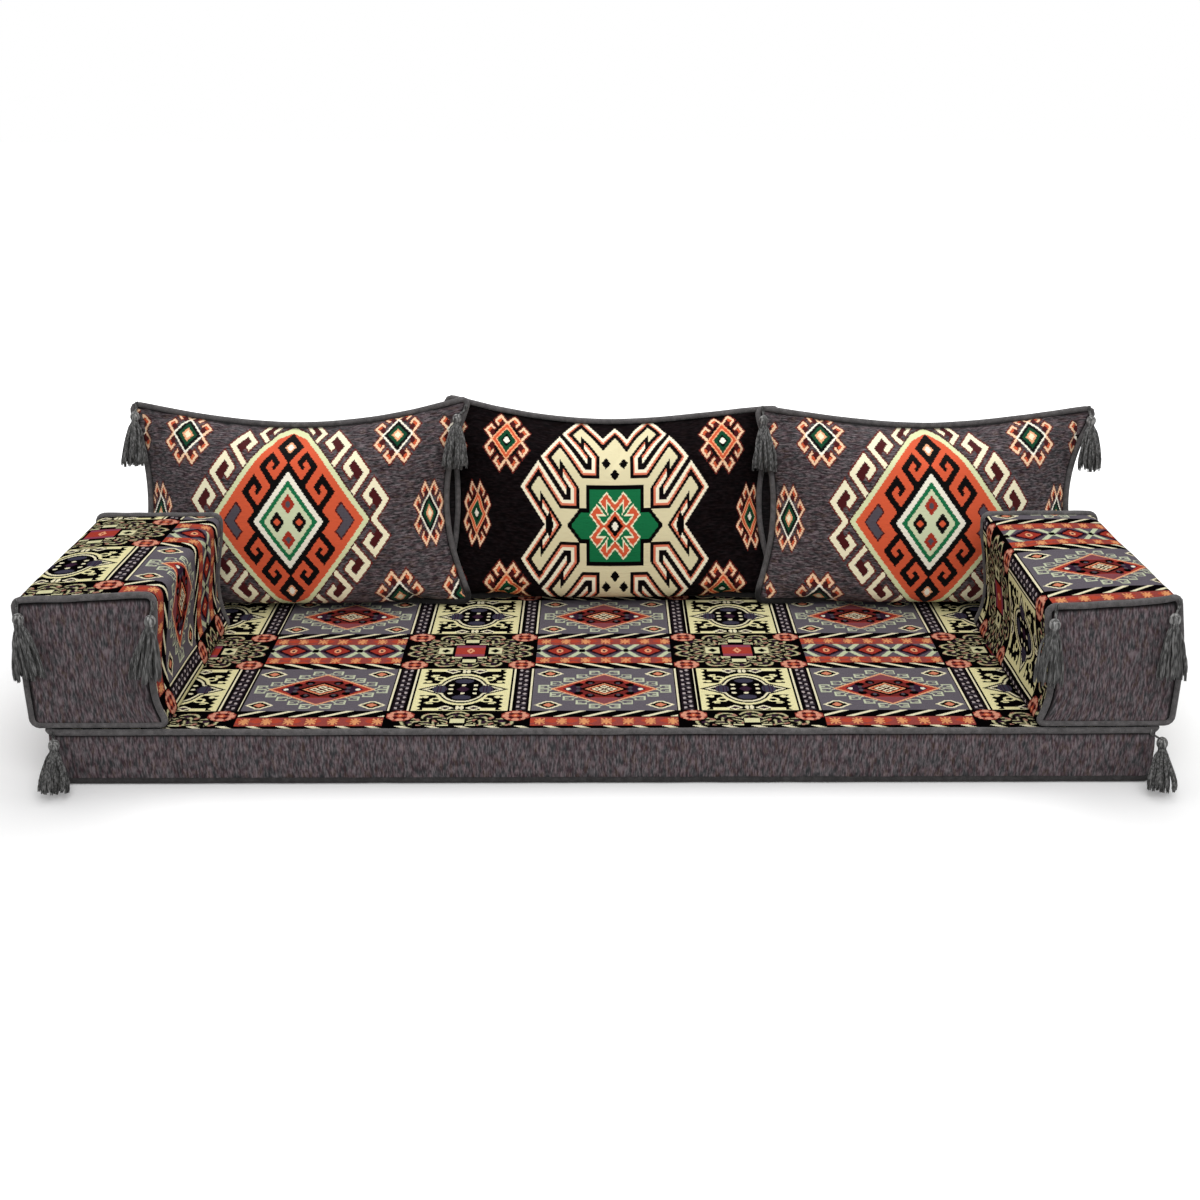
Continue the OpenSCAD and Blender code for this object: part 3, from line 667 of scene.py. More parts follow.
def kilim_finish():
    """Flat woven kilim: grey and straw columns with diamonds and vases, crossed by eye bands."""
    loom = Loom("kilim")
    u, v, x, y = loom.stitches(PICK)
    grey_x, straw_x = x.wave(COLUMNS, 4), x.wave(COLUMNS, 258.5)
    field_y, band_y = y.wave(ROWS, -189.5), y.wave(ROWS, -18.5)
    grey = loom.paint(GREY, *diamond_coats(grey_x, field_y))
    straw = loom.paint(STRAW, *vase_coats(straw_x, field_y), *border_coats(straw_x, y))
    eyes = loom.paint(dye(98, 88, 98), *eye_coats(grey_x, band_y))
    wreath = loom.paint(BLACK, *wreath_coats(straw_x, band_y))
    in_grey, in_band = abs(grey_x) < COLUMN_HALF, abs(band_y) < BAND_HALF
    colour = loom.mix(in_band, loom.mix(in_grey, straw, grey), loom.mix(in_grey, wreath, eyes))
    dashes = (x + y * 2) % 51 < 15
    colour = loom.mix(y < FRONT_EDGE, colour, loom.paint(BLACK, (dashes, CREAM)))
    fleck = loom.grain(u * 700, v * 260, rough=0.7)
    weft = loom.grain(u * 90, v * 1500, 2.0, detail=1)
    # Flecks and weft are the weave's own tone; the seam factor is painted shade beside the sewn
    # edges.
    colour = loom.tone(colour, (fleck * 0.92 + weft * 0.36 + 0.20) * loom.painted_seam_shade())
    ribs = (v * 3400).sine() * 0.22 + (u * 2600).sine() * 0.14
    return loom.finish(colour, fleck * 0.14 + 0.84, ribs + fleck * 0.8, 0.0011,
                       Specular_IOR_Level=0.0)


# ---- meshes

CLOTH = 0.0018  # thickness of the covers
CORD, CORD_SIDES = 0.0056, 14  # radius of the piping, and facets round it
CORD_GIRTH = 2 * pi * 0.006  # cloth that goes once round a cord
CORD_OUT, CORD_IN = 0.0052, 0.002  # past a back's seam, and inside a boxed cushion's outline
SEAM_FADE = 0.005  # how far the painted shade of a seam reaches past the piping
# Widths that the piping covers at each kind of edge, where the painted seam shade is full.
BACK_COVERED, PANEL_COVERED, WALL_COVERED, WRAP_COVERED = 0.001, 0.0062, 0.0018, 0.0036
BACK_ZIP, ARM_ZIP, MATTRESS_ZIP = 0.160, 0.175, 0.700  # half a slot's length
ZIP_GAP = 0.0075  # half a slot's width
SAG_PEAK, SIDE_PEAK, LEAN_PEAK = 0.238, 0.171, 0.148  # what brings a curve's top to 1
RINGS = {}  # each cushion's piping, for its tassels to be tied round


class Outline:
    """A rounded rectangle, walked anticlockwise from the middle of its lower side."""

    def __init__(self, half_w, half_h, turn):
        self.half_w, self.half_h, self.turn = half_w, half_h, turn
        across, up, arc = 2 * (half_w - turn), 2 * (half_h - turn), pi * turn / 2
        self.legs = [across / 2, arc, up, arc, across, arc, up, arc, across / 2]
        self.length = sum(self.legs)

    def at(self, distance):
        """Point, outward direction and side number (0 to 3) after a distance."""
        distance %= self.length
        for leg, run in enumerate(self.legs):
            if distance <= run or leg == 8:
                break
            distance -= run
        side, r = leg // 2, self.turn
        wide, deep = (self.half_h, self.half_w) if side % 2 else (self.half_w, self.half_h)
        facing = Matrix.Rotation(side * pi / 2, 2)
        if leg % 2 == 0:
            start = r - wide if leg else 0.0
            return facing @ Vector((start + distance, -deep)), facing @ Vector((0, -1)), side % 4
        out = Vector((sin(distance / r), -cos(distance / r)))
        return facing @ (Vector((wide - r, r - deep)) + out * r), facing @ out, side % 4


def spaced(outline, count):
    """Points, outward directions and side numbers, evenly round an outline."""
    return [outline.at(k / count * outline.length) for k in range(count)]


def climb(value, start, end):
    """0 at start and before it, 1 at end and past it, and even in between."""
    return max(0.0, min(1.0, (value - start) / (end - start)))


def edge_spacing(share, pull):
    """A share that crowds towards both ends, for a panel's turned edges."""
    centred = 2 * share - 1
    return 0.5 + 0.5 * ((1 - pull) * centred + pull * sin(pi / 2 * centred))


def crowd(share, pull):
    """The same, from -1 to 1."""
    return 2 * edge_spacing(share, pull) - 1


def panel_point(share_x, share_y, half_w, half_h, turn):
    """A panel's point at shares from -1 to 1 of its half sizes, drawn into its rounded corners."""
    x, y = share_x * half_w, share_y * half_h
    cx, cy = half_w - turn, half_h - turn
    dx, dy = abs(x) - cx, abs(y) - cy
    if dx <= 0 or dy <= 0:
        return x, y
    share = max(dx, dy) / hypot(dx, dy)
    return copysign(cx + dx * share, x), copysign(cy + dy * share, y)


def ripple(at, seed, scale):
    return noise.noise(Vector((at.x / scale + seed, at.y / scale - seed, at.z / scale)))


def new_bmesh():
    bm = bmesh.new()
    return bm, bm.loops.layers.uv.new("cloth")


def spread(bm, layer, cells, place, cloth):
    """Adds a grid and lays its corner at shares (s, t) at place(s, t), marked cloth(s, t)."""
    made = bmesh.ops.create_grid(bm, x_segments=cells[0], y_segments=cells[1], size=0.5)
    share = {v: (v.co.x + 0.5, v.co.y + 0.5) for v in made["verts"]}
    for face in {f for v in share for f in v.link_faces}:
        for loop in face.loops:
            loop[layer].uv = cloth(*share[loop.vert])
    for vertex, (s, t) in share.items():
        vertex.co = place(s, t)
    return made["verts"]


def tube(bm, layer, points, radius, sides, plane, closed=False):
    """Adds a tube along points. Its section starts in the given plane's normal."""
    count = len(points)
    rings = []
    for k, point in enumerate(points):
        after = points[(k + 1) % count] if closed or k < count - 1 else point
        before = points[k - 1] if closed or k > 0 else point
        along = (after - before).normalized()
        side = along.cross(plane).normalized()
        rings.append((point, side, side.cross(along).normalized()))
    reach = [0.0]
    for a, b in zip(points, points[1:] + points[:1]):
        reach.append(reach[-1] + (b - a).length)
    steps = count if closed else count - 1

    def place(s, t):
        k = round(s * steps)
        point, side, up = rings[k % count]
        r = radius(k / steps) if callable(radius) else radius
        turn = 2 * pi * t
        return point + (side * cos(turn) + up * sin(turn)) * r

    spread(bm, layer, (steps, sides), place, lambda s, t: (reach[round(s * steps)], CORD_GIRTH * t))


def close_up(bm, gap=1e-6):
    bmesh.ops.remove_doubles(bm, verts=bm.verts, dist=gap)
    bmesh.ops.recalc_face_normals(bm, faces=bm.faces)


def drop_faces(bm, chosen):
    bmesh.ops.delete(bm, geom=[f for f in bm.faces if chosen(f)], context="FACES")


def paint_seam_shade(bm, covered):
    """Paints shade beside the sewn edges: each vertex's seam value says how near it is to an edge,
    of which the piping covers a width.
    """
    rim = [v for v in bm.verts if v.is_boundary]
    tree = kdtree.KDTree(len(rim))
    for number, vertex in enumerate(rim):
        tree.insert(vertex.co, number)
    tree.balance()
    layer = bm.verts.layers.float.new("seam")
    for vertex in bm.verts:
        vertex[layer] = climb(tree.find(vertex.co)[2], covered + SEAM_FADE, covered)
    return layer


def add(name, data):
    """Adds an object to the scene."""
    made = bpy.data.objects.new(name, data)
    bpy.context.scene.collection.objects.link(made)
    return made


def as_mesh(name, bm, finish=None):
    """Copies a bmesh to a mesh of one finish."""
    mesh = bpy.data.meshes.new(name)
    bm.to_mesh(mesh)
    mesh.materials.append(finish)
    return mesh


def make_piece(name, bm, finish, body, *nodes):
    """Turns a bmesh into a piece that rides on a body and stands for its nodes."""
    piece = add(name, as_mesh(name, bm, cut(finish)))
    bm.free()
    piece.data.shade_smooth()
    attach(piece, body)
    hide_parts(*nodes)
    return piece


def thicken(piece, levels=0):
    """Gives a cover its cloth's thickness, inwards, and smooths it."""
    if levels:
        sub = piece.modifiers.new("Smooth", "SUBSURF")
        sub.levels = sub.render_levels = levels
    solid = piece.modifiers.new("Cloth", "SOLIDIFY")
    solid.thickness = CLOTH
    solid.offset = -1.0
    return piece


def sew_panel(name, body, finish, nodes, cells, place, cloth, covered=0, slot=None,
              turned=False):
    """Sews one panel from a grid, with a slot left open where it has a zip."""
    bm, layer = new_bmesh()
    spread(bm, layer, cells, place, cloth)
    if turned:
        bmesh.ops.reverse_faces(bm, faces=bm.faces)
    if slot:
        drop_faces(bm, lambda face: slot(face.calc_center_median()))
        close_up(bm)
    # Painted shade along the panel's sewn edges, full where the piping covers them.
    if covered:
        paint_seam_shade(bm, covered)
    piece = thicken(make_piece(name, bm, finish, body, *nodes))


def lay_cord(name, body, points, plane, finish="felt", thick=CORD, stand=Matrix(), painted_shade=None):
    """Lays a closed ring of piping through points, with painted shade where the given function
    darkens it.
    """
    bm, layer = new_bmesh()
    tube(bm, layer, points, thick, CORD_SIDES, Vector(plane), closed=True)
    close_up(bm)
    if painted_shade:
        # Painted shade, kept as the cord's seam value.
        seam = bm.verts.layers.float.new("seam")
        for vertex in bm.verts:
            vertex[seam] = painted_shade(vertex.co)
    bm.transform(stand)
    RINGS.setdefault(body, [stand @ point for point in points])
    make_piece(name + "_cord", bm, finish, body, name + "_piping")


# ---- back cushions

BACK_W, BACK_H, BACK_T = 0.692, 0.396, 0.170
TOP_DIP, TOP_CURVE, BOTTOM_RISE = 0.042, 1.7, 0.010
DOME_U, DOME_V = (2.2, 0.8), (2.4, 0.62)  # powers of the thickness's fall towards the seams
CORNER_TRIM = 0.02  # share of its size that a cushion loses at a corner
BELLY_SAG, SAG_START, SAG_SWELL = 0.017, -0.45, 0.4  # how far, from what height, how much out
SEAM_T = 0.00497  # a cushion's thickness at its seam
# Form: the left and right sides' pull, the top's lift on the left, in the middle and on the
# right, and the rear cover's side swell.
PLAIN_FORM = ((0.040, 0.040), (0.0, 0.0, 0.0), 0.012)
FORMS = {"left_back": ((0.042, 0.053), (0.008, 0.002, 0.018), 0.012),
         "middle_back": ((0.030, 0.049), (0.014, -0.001, -0.012), 0.057),
         "right_back": ((0.040, 0.062), (-0.004, -0.002, -0.006), 0.012)}
MEDALLIONS = {"left_back": (-0.0089, -0.0225), "middle_back": (0.0032, -0.0400),
              "right_back": (-0.0063, -0.0265)}
SEAT_Z, BACK_Y, MIDDLE_SETBACK = 0.1113, 0.214, 0.031  # where the backs stand
LEAN = atan2(*JOINTS["left_back_lift"]["axis"][1:])
COVER_CELLS = (84, 54)
START_FILL = 0.94  # of the full form, before the filling swells it
FILLING = {"quality": 5, "mass": 0.4, "tension_stiffness": 25, "compression_stiffness": 25,
           "shear_stiffness": 12, "bending_stiffness": 1.2, "use_pressure": True,
           "shrink_min": -0.022, "vertex_group_mass": "sewn"}
FILLING_FRAMES = 20
ZIP_V = -1 + 2 * (0.050 - BOTTOM_RISE) / (BACK_H - TOP_DIP - BOTTOM_RISE)
ZIP_FLAT_X, ZIP_FLAT_Z = (0.228, 0.178), (0.048, 0.018)  # from swollen to flat for the zip
# Where painted shade darkens the middle cushion's rear cover, in the gaps between its neighbours,
# and how much.
SHADED_X, SHADED_Y, SIDE_SHADE = (0.298, 0.320), (0.050, 0.018), 0.88


def ear(u, v):
    """Takes a little off a cushion's corners."""
    return 1 - CORNER_TRIM * abs(u * v) ** 10


def seam_x(u, v, form):
    """Where a cushion's front and rear meet, across it and, in seam_z, up it."""
    return u * (BACK_W / 2 - form[0][u > 0] * (1 - v * v)) * ear(u, v)


def seam_z(u, v, form):
    left, middle, right = form[1]
    lift = middle + ((right if u > 0 else left) - middle) * abs(u) ** 3
    top = BACK_H / 2 - TOP_DIP * (1 - abs(u) ** TOP_CURVE) + lift
    bottom = -BACK_H / 2 + BOTTOM_RISE * (1 - u * u)
    return (bottom + (top - bottom) * (v + 1) / 2) * ear(u, v)


def half_thick(u, v):
    """Half a cushion's thickness: a dome that falls to its seams."""
    return SEAM_T / 2 + (BACK_T - SEAM_T) / 2 * max(0.0, 1 - abs(u) ** DOME_U[0]) ** DOME_U[1] \
        * max(0.0, 1 - abs(v) ** DOME_V[0]) ** DOME_V[1]


RING_DROP = 0.0060 - min(seam_z(k / 40, -1, PLAIN_FORM) for k in range(41))
ZIP_Y, ZIP_Z = half_thick(0, ZIP_V), seam_z(0, ZIP_V, PLAIN_FORM)
ZIP_SLOPE = (half_thick(0, ZIP_V + 0.01) - half_thick(0, ZIP_V - 0.01)) \
    / (seam_z(0, ZIP_V + 0.01, PLAIN_FORM) - seam_z(0, ZIP_V - 0.01, PLAIN_FORM))


def back_stand(name):
    """Turns a back cushion's own frame into the sofa's."""
    low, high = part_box(name + "_piping")
    setback = MIDDLE_SETBACK if name == "middle_back" else 0.0
    return Matrix.Translation(((low.x + high.x) / 2, BACK_Y + setback, SEAT_Z)) \
        @ Matrix.Rotation(-LEAN, 4, "X") @ Matrix.Translation((0, 0, RING_DROP))


def near_zip(x, z):
    """1 on a back cushion's zip and 0 well away from it."""
    share = min(climb(abs(z - ZIP_Z), *ZIP_FLAT_Z), climb(abs(x), *ZIP_FLAT_X))
    return share * share * (3 - 2 * share)


def face_grid(side, form):
    """Points of one face of a back cushion and their cloth coordinates, by cell corner."""
    us, vs = ([crowd(k / count, 0.5) for k in range(count + 1)] for count in COVER_CELLS)
    at = {}
    for i, u in enumerate(us):
        for j, v in enumerate(vs):
            x, z = seam_x(u, v, form), seam_z(u, v, form)
            deep = (half_thick(u, v) - SEAM_T / 2) * START_FILL
            # The front sags low down; the rear swells at its sides and is flat at the zip.
            if side < 0:
                low = climb(v, SAG_START, -1.0)
                sag = low ** 3 * sqrt(1 - low) / SAG_PEAK * (1 - u ** 4)
                z -= BELLY_SAG * sag
                deep += BELLY_SAG * SAG_SWELL * sag
            else:
                wide = abs(u) ** 6 * sqrt(1 - abs(u)) / SIDE_PEAK * (1 - v * v)
                x += copysign(form[2] * wide, u)
                flat = ZIP_Y + (z - ZIP_Z) * ZIP_SLOPE
                deep += (flat - deep) * near_zip(x, z)
            at[i, j] = Vector((x, side * deep, z))
    cloth = {corner: [0.0, 0.0] for corner in at}
    for axis, half in enumerate(count // 2 for count in COVER_CELLS):
        for start in [corner for corner in at if corner[axis] == half]:
            for way in (1, -1):
                run, corner = 0.0, start
                for _ in range(half):
                    after = (corner[0] + way * (1 - axis), corner[1] + way * axis)
                    run += (at[after] - at[corner]).length
                    cloth[after][axis] = way * run
                    corner = after
    return at, cloth


def fill_cloth(piece, padding, pinned):
    """Fills a sewn cover: a short cloth simulation under pressure, held along pinned vertices."""
    start = [v.co.copy() for v in piece.data.vertices]
    piece.vertex_groups.new(name="sewn").add(pinned, 1.0, "REPLACE")
    cloth = piece.modifiers.new("Filling", "CLOTH")
    for name, value in FILLING.items():
        setattr(cloth.settings, name, value)
    cloth.settings.uniform_pressure_force = padding.pressure
    cloth.settings.effector_weights.gravity = 0.0
    cloth.collision_settings.use_collision = False
    cloth.point_cache.frame_start, cloth.point_cache.frame_end = 1, FILLING_FRAMES
    scene = bpy.context.scene
    for number in range(1, FILLING_FRAMES + 1):
        scene.frame_set(number)
    graph = bpy.context.evaluated_depsgraph_get()
    filled = [v.co.copy() for v in piece.evaluated_get(graph).data.vertices]
    piece.modifiers.remove(cloth)
    scene.frame_set(1)
    for index, (old, new) in enumerate(zip(start, filled)):
        move = new - old
        if move.length > padding.cap:
            filled[index] = old + move * (padding.cap / move.length)
    return filled


def sew_back(name, padding):
    """Sews one back cushion: front and rear covers filled together, and the piping round them."""
    stand = back_stand(name)
    shade = "black" if name == "middle_back" else "grey"
    middle_u, middle_v = MEDALLIONS[name]
    form = FORMS[name]
    bm, layer = new_bmesh()
    behind = bm.faces.layers.int.new("behind")
    for side in (-1, 1):
        at, cloth = face_grid(side, form)

        def corner(s, t):
            return round(s * COVER_CELLS[0]), round(t * COVER_CELLS[1])

        def mark(s, t):
            run_u, run_v = cloth[corner(s, t)]
            return -side * run_u - middle_u, run_v - middle_v

        for vertex in spread(bm, layer, COVER_CELLS, lambda s, t: at[corner(s, t)], mark):
            for face in vertex.link_faces:
                face[behind] = max(0, side)
    close_up(bm, 1e-5)
    bm.verts.index_update()
    pinned = []
    for vertex in bm.verts:
        sides = {face[behind] for face in vertex.link_faces}
        if len(sides) > 1 or sides == {1} and near_zip(vertex.co.x, vertex.co.z) > 0.9:
            pinned.append(vertex.index)
    cover = add("cover", as_mesh("cover", bm))
    filled = fill_cloth(cover, padding, pinned)
    bpy.data.objects.remove(cover)
    for vertex, place in zip(bm.verts, filled):
        vertex.co = place
    for rear, part, finish, nodes in (
            (0, "front_cover", "medallion_" + shade, (name + "_filling",)),
            (1, "rear_cover", "chenille", ())):
        half = bm.copy()
        tag = half.faces.layers.int["behind"]
        drop_faces(half, lambda face: face[tag] != rear)
        if rear:
            drop_faces(half, lambda face: abs(face.calc_center_median().z - ZIP_Z) < ZIP_GAP
                       and abs(face.calc_center_median().x) < BACK_ZIP)
        seam = paint_seam_shade(half, BACK_COVERED)
        # Painted shade: the middle cushion's rear cover darkens at its sides, where the gaps
        # between the cushions lie in shadow.
        if rear and name == "middle_back":
            for vertex in half.verts:
                gap_shade = min(climb(abs(vertex.co.x), *SHADED_X), climb(vertex.co.y, *SHADED_Y))
                vertex[seam] = max(vertex[seam], gap_shade * SIDE_SHADE)
        half.transform(stand)
        piece = make_piece(f"{name}_{part}_cloth", half, finish, name, f"{name}_{part}", *nodes)
        thicken(piece, levels=1)
    bm.free()

    ring = []
    corners = [(-1, -1), (1, -1), (1, 1), (-1, 1)]
    for a, b, count in zip(corners, corners[1:] + corners[:1], (100, 60, 100, 60)):
        for k in range(count):
            u, v = (p + (q - p) * k / count for p, q in zip(a, b))
            ring.append(Vector((seam_x(u, v, form), 0.0, seam_z(u, v, form))))
    for _ in range(3):  # each round softens the ring's corners
        ring = [(ring[k - 1] + ring[k] * 2 + ring[(k + 1) % len(ring)]) / 4
                for k in range(len(ring))]
    points = []
    for k, point in enumerate(ring):
        along = ring[(k + 1) % len(ring)] - ring[k - 1]
        out = Vector((along.z, 0.0, -along.x)).normalized()
        wobble = ripple(point, len(name), 0.05) * 0.0012
        points.append(point + out * (CORD_OUT + wobble * 0.4) + Vector((0, wobble, 0)))
    # The cord's lowest part gets painted shade, for the shadow under the cushion's belly.
    lay_cord(name, name, points, (0, 1, 0), stand=stand,
             painted_shade=lambda at: min(0.9, climb(at.z, -0.165, -0.180)))


# ---- mattress and arm cushions

HEM = 0.003  # how far a boxed cushion's panels keep inside its outline
FOOT_CORD, TOP_CORD, ARM_TOP_CORD = 0.0064, 0.0990, 0.0012  # the cords' heights and depth
MATTRESS_TURN, MATTRESS_TOP = 0.020, 0.100
CROWN_RUN, WALL_SWELL = 0.055, 0.0024  # from the top's edge to its full crown; the boxing's belly
WALL_FOOT, WALL_HEIGHT = 0.005, 0.090
MATTRESS_ZIP_Z, ARM_ZIP_Z = 0.050, 0.048


def sew_mattress(padding):
    """Sews the mattress: crowned kilim top, chenille boxing and base, and its two cords."""
    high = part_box("mattress_boxing")[1]
    half_w, half_d, turn = high.x, high.y, MATTRESS_TURN

    def top_place(s, t):
        x, y = panel_point(crowd(s, 0.5), crowd(t, 0.6), half_w - HEM, half_d - HEM, turn)
        edge = min(half_w - abs(x), half_d - abs(y))
        rise = climb(edge, 0, CROWN_RUN)
        here = Vector((x, y, 0.0))
        crown = padding.crown * sin(rise * pi / 2)
        return Vector((x, y, MATTRESS_TOP - 0.0005 + crown + ripple(here, 3.0, 0.16) * 0.0006 * rise
                       + ripple(here, 8.0, 0.03) * 0.0007 * exp(-edge / 0.03)))

    sew_panel("mattress_top", "mattress", "kilim", ("mattress_top_panel", "mattress_foam"),
              (200, 76), top_place, lambda s, t: tuple(top_place(s, t).xy),
              covered=PANEL_COVERED)
    sew_panel("mattress_base", "mattress", "chenille", ("mattress_bottom_panel",), (60, 24),
              lambda s, t: Vector((*panel_point(
                  2 * s - 1, 2 * t - 1, half_w - 2 * HEM, half_d - 2 * HEM, turn), 0.002)),
              lambda s, t: ((2 * s - 1) * half_w, (2 * t - 1) * half_d), turned=True)

    walk = Outline(half_w, half_d, turn)

    def wall_place(s, t):
        point, out, _ = walk.at(s * walk.length)
        z = WALL_FOOT + WALL_HEIGHT * edge_spacing(t, 0.6)
        here = Vector((*point, z))
        full = sin(pi * edge_spacing(t, 0.6))
        bulge = WALL_SWELL * full + ripple(here, 1.0, 0.09) * 0.0014 * full \
            + ripple(here, 5.0, 0.022) * 0.0007
        return Vector((*(point + out * (bulge - 0.001)), z))

    sew_panel("mattress_wall", "mattress", "boxing", ("mattress_boxing",), (420, 18), wall_place,
              lambda s, t: (s * walk.length, WALL_HEIGHT * edge_spacing(t, 0.6)),
              covered=WALL_COVERED,
              slot=lambda at: at.y > half_d - 0.01 and abs(at.x) < MATTRESS_ZIP
              and abs(at.z - MATTRESS_ZIP_Z) < ZIP_GAP)

    cord = Outline(half_w - CORD_IN, half_d - CORD_IN, turn - CORD_IN)
    # The bottom cord takes the darker felt: painted shade, for the shadow under the boxing.
    for part, height, seed, finish in (("top", TOP_CORD, 2.0, "felt"),
                                       ("bottom", FOOT_CORD, 6.0, "felt_low")):
        points = []
        for point, out, _ in spaced(cord, 640):
            sway = ripple(Vector((*point, height)), seed, 0.07) * 0.0013
            points.append(Vector((*(point + out * sway * 0.6),
                                  height + (sway if part == "top" else abs(sway) * 0.4))))
        lay_cord(f"mattress_{part}", "mattress", points, (0, 0, 1), finish)


ARM_TURN, ARM_LEAN = 0.014, 0.020
RIGHT_LEAN, RIGHT_CORNER, RIGHT_SINK = 0.021, 0.006, 0.014  # the right arm's settled outer side
LEFT_LIFT, LEFT_TILT = 0.002, 0.010  # the left arm's raised front
ARM_GAP = 0.004  # from a wrap's hem to the end panel's face
# Where the kilim's pattern starts on each arm, along and across, and its creep up the inner side.
ARM_CLOTH = {"left_arm": (1.1995, 0.0015, -0.017), "right_arm": (-0.8695, 0.0075, 0.0)}
REAR_CORD = 1.2  # the rear cord's radius, in front cords


def sew_arm(name, padding):
    """Sews one arm cushion: a kilim wrap, chenille ends and a cord round each end."""
    side = -1 if name == "left_arm" else 1
    low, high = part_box(name + "_wrap")
    middle_x, middle_z = (low.x + high.x) / 2, (low.z + high.z) / 2
    half_w, half_h, turn = (high.x - low.x) / 2, (high.z - low.z) / 2, ARM_TURN
    front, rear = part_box(name + "_front_panel")[0].y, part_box(name + "_rear_panel")[1].y
    middle_y, half_d = (front + rear) / 2, (rear - front) / 2
    walk = Outline(half_w, half_h, turn)
    seed = 11.0 + side

    def settle(x, y, z):
        """Moves a point to where the cushion has settled: its inner side leans in low down."""
        share = max(0.0, (z - low.z) / (high.z - low.z))
        inner = (middle_x - x) * side / half_w
        near = 1 - (y - front) / (rear - front)
        lean = ARM_LEAN * share * (1 - share) ** 2 / LEAN_PEAK * max(0.0, inner)
        if side > 0:
            outer = max(0.0, -inner)
            lean -= RIGHT_LEAN * max(0.0, (share - 0.45) / 0.55) ** 1.3 * outer
            lift = RIGHT_CORNER * outer ** 8 * near ** 2 - RIGHT_SINK * (inner + 1) / 2 * near
        else:
            lift = near * (LEFT_LIFT + LEFT_TILT * max(0.0, inner + 1) / 2)
        return Vector((x + side * lean, y, z + lift * share))

    def side_share(point, face):
        """0 at the wrap's folded edges and 1 in the middle of a side; 0 all along its base."""
        if face == 0:
            return 0.0
        return max(0.0, 1 - (point.x / half_w if face == 2 else point.y / half_h) ** 2)

    def wrap_y(t):
        return front + ARM_GAP + (rear - front - 2 * ARM_GAP) * edge_spacing(t, 0.5)

    def wrap_place(s, t):
        point, out, face = walk.at(s * walk.length)
        y = wrap_y(t)
        ends = 1 - abs((y - middle_y) / half_d) ** 6
        here = Vector((point.x, y, point.y))
        near_end = exp(-(half_d - abs(y - middle_y)) / 0.02)
        swell = padding.belly * side_share(point, face) * ends \
            + (ripple(here, seed, 0.09) * 0.0018 * ends
               + ripple(here, seed + 4, 0.022) * 0.0012 * near_end) * (face != 0)
        return settle(middle_x + point.x + out.x * swell, y, middle_z + point.y + out.y * swell)

    phase_u, phase_v, creep = ARM_CLOTH[name]
    foot_run = half_w - turn + pi * turn / 2

    def wrap_cloth(s, t):
        distance = s * walk.length
        climbed = distance if side < 0 else walk.length - distance
        return (middle_x + walk.length / 2 - distance + phase_u
                + creep * climb(climbed, foot_run, foot_run + 2 * half_h), wrap_y(t) + phase_v)

    sew_panel(name + "_kilim", name, "kilim", (name + "_wrap", name + "_foam"), (132, 76),
              wrap_place, wrap_cloth, covered=WRAP_COVERED,
              slot=lambda at: (at.x - middle_x) * side > half_w - 0.01
              and abs(at.y - middle_y) < ARM_ZIP and abs(at.z - low.z - ARM_ZIP_Z) < ZIP_GAP)

    for end, part in ((-1, "front"), (1, "rear")):
        face_y = front if end < 0 else rear

        def panel_place(s, t):
            x, z = panel_point(crowd(s, 0.6), crowd(t, 0.6), half_w - HEM, half_h - HEM, turn)
            round_off = (1 - (x / half_w) ** 4) * (1 - (z / half_h) ** 4)
            puff = padding.belly * 1.1 * round_off \
                + ripple(Vector((x, end * 0.3, z)), seed, 0.08) * 0.0016 * round_off - 0.001
            return settle(middle_x + x, face_y + end * puff, middle_z + z)

        sew_panel(f"{name}_{part}_end", name, "boxing", (f"{name}_{part}_panel",), (64, 64),
                  panel_place, lambda s, t: (crowd(s, 0.6) * half_w, crowd(t, 0.6) * half_h),
                  covered=PANEL_COVERED, turned=end > 0)

        thick = CORD if end < 0 else CORD * REAR_CORD
        base, peak = low.z + FOOT_CORD, high.z - ARM_TOP_CORD + (thick - CORD)
        cord = Outline(half_w - CORD_IN, (peak - base) / 2, turn - CORD_IN)
        points = []
        for point, out, face in spaced(cord, 180):
            sway = ripple(Vector((point.x, end, point.y)), seed + end, 0.05) * 0.0014
            lift = 0.0 if face == 0 else sway
            points.append(settle(middle_x + point.x + out.x * lift,
                                 face_y - end * CORD_IN + sway * 0.7,
                                 (base + peak) / 2 + point.y + out.y * lift))
        lay_cord(f"{name}_{part}", name, points, (0, 1, 0), thick=thick)


# ---- tassels

LOOP, LOOP_YARN = 0.0071, 0.0014  # radius of the loop round the piping, and of its yarn
LOOP_GAP = 0.0016  # half the space between a loop's two yarns
SKIRT, FLOOR_SKIRT = 0.096, 0.074  # lengths; the mattress's tassels lie on the floor
HEAD, HEAD_WIDE, HEAD_TALL = 0.0096, 0.94, 1.14
HEAD_OUT, HEAD_LOW, HEAD_HIGH = -0.018, -0.026, -0.016  # its middle from the piping's
NECK, NECK_YARN, NECK_TURNS = 0.0059, 0.0012, 4
NECK_Z, NECK_STEP = -0.0086, 0.0019
SKIRT_TOP = 0.011  # from the head's middle down to the first of the skirt
GOLDEN_TURN = 2.39996  # from one lock to the next, to spread them evenly
# Each tassel's shift along the piping and its lean, in radians.
HANGS = {"left_back_right_tassel": (-0.018, -0.06), "left_arm_outer_tassel": (0.004, 0.08),
         "left_arm_inner_tassel": (-0.004, -0.17), "right_arm_inner_tassel": (-0.004, -0.05),
         "right_arm_outer_tassel": (-0.010, 0.03), "mattress_left_tassel": (0.004, 0.08),
         "mattress_right_tassel": (0.015, -0.13), "right_back_right_tassel": (0.0, -0.08)}


def round_about(angle, squash=1.0):
    return Vector((cos(angle), sin(angle) * squash, 0))


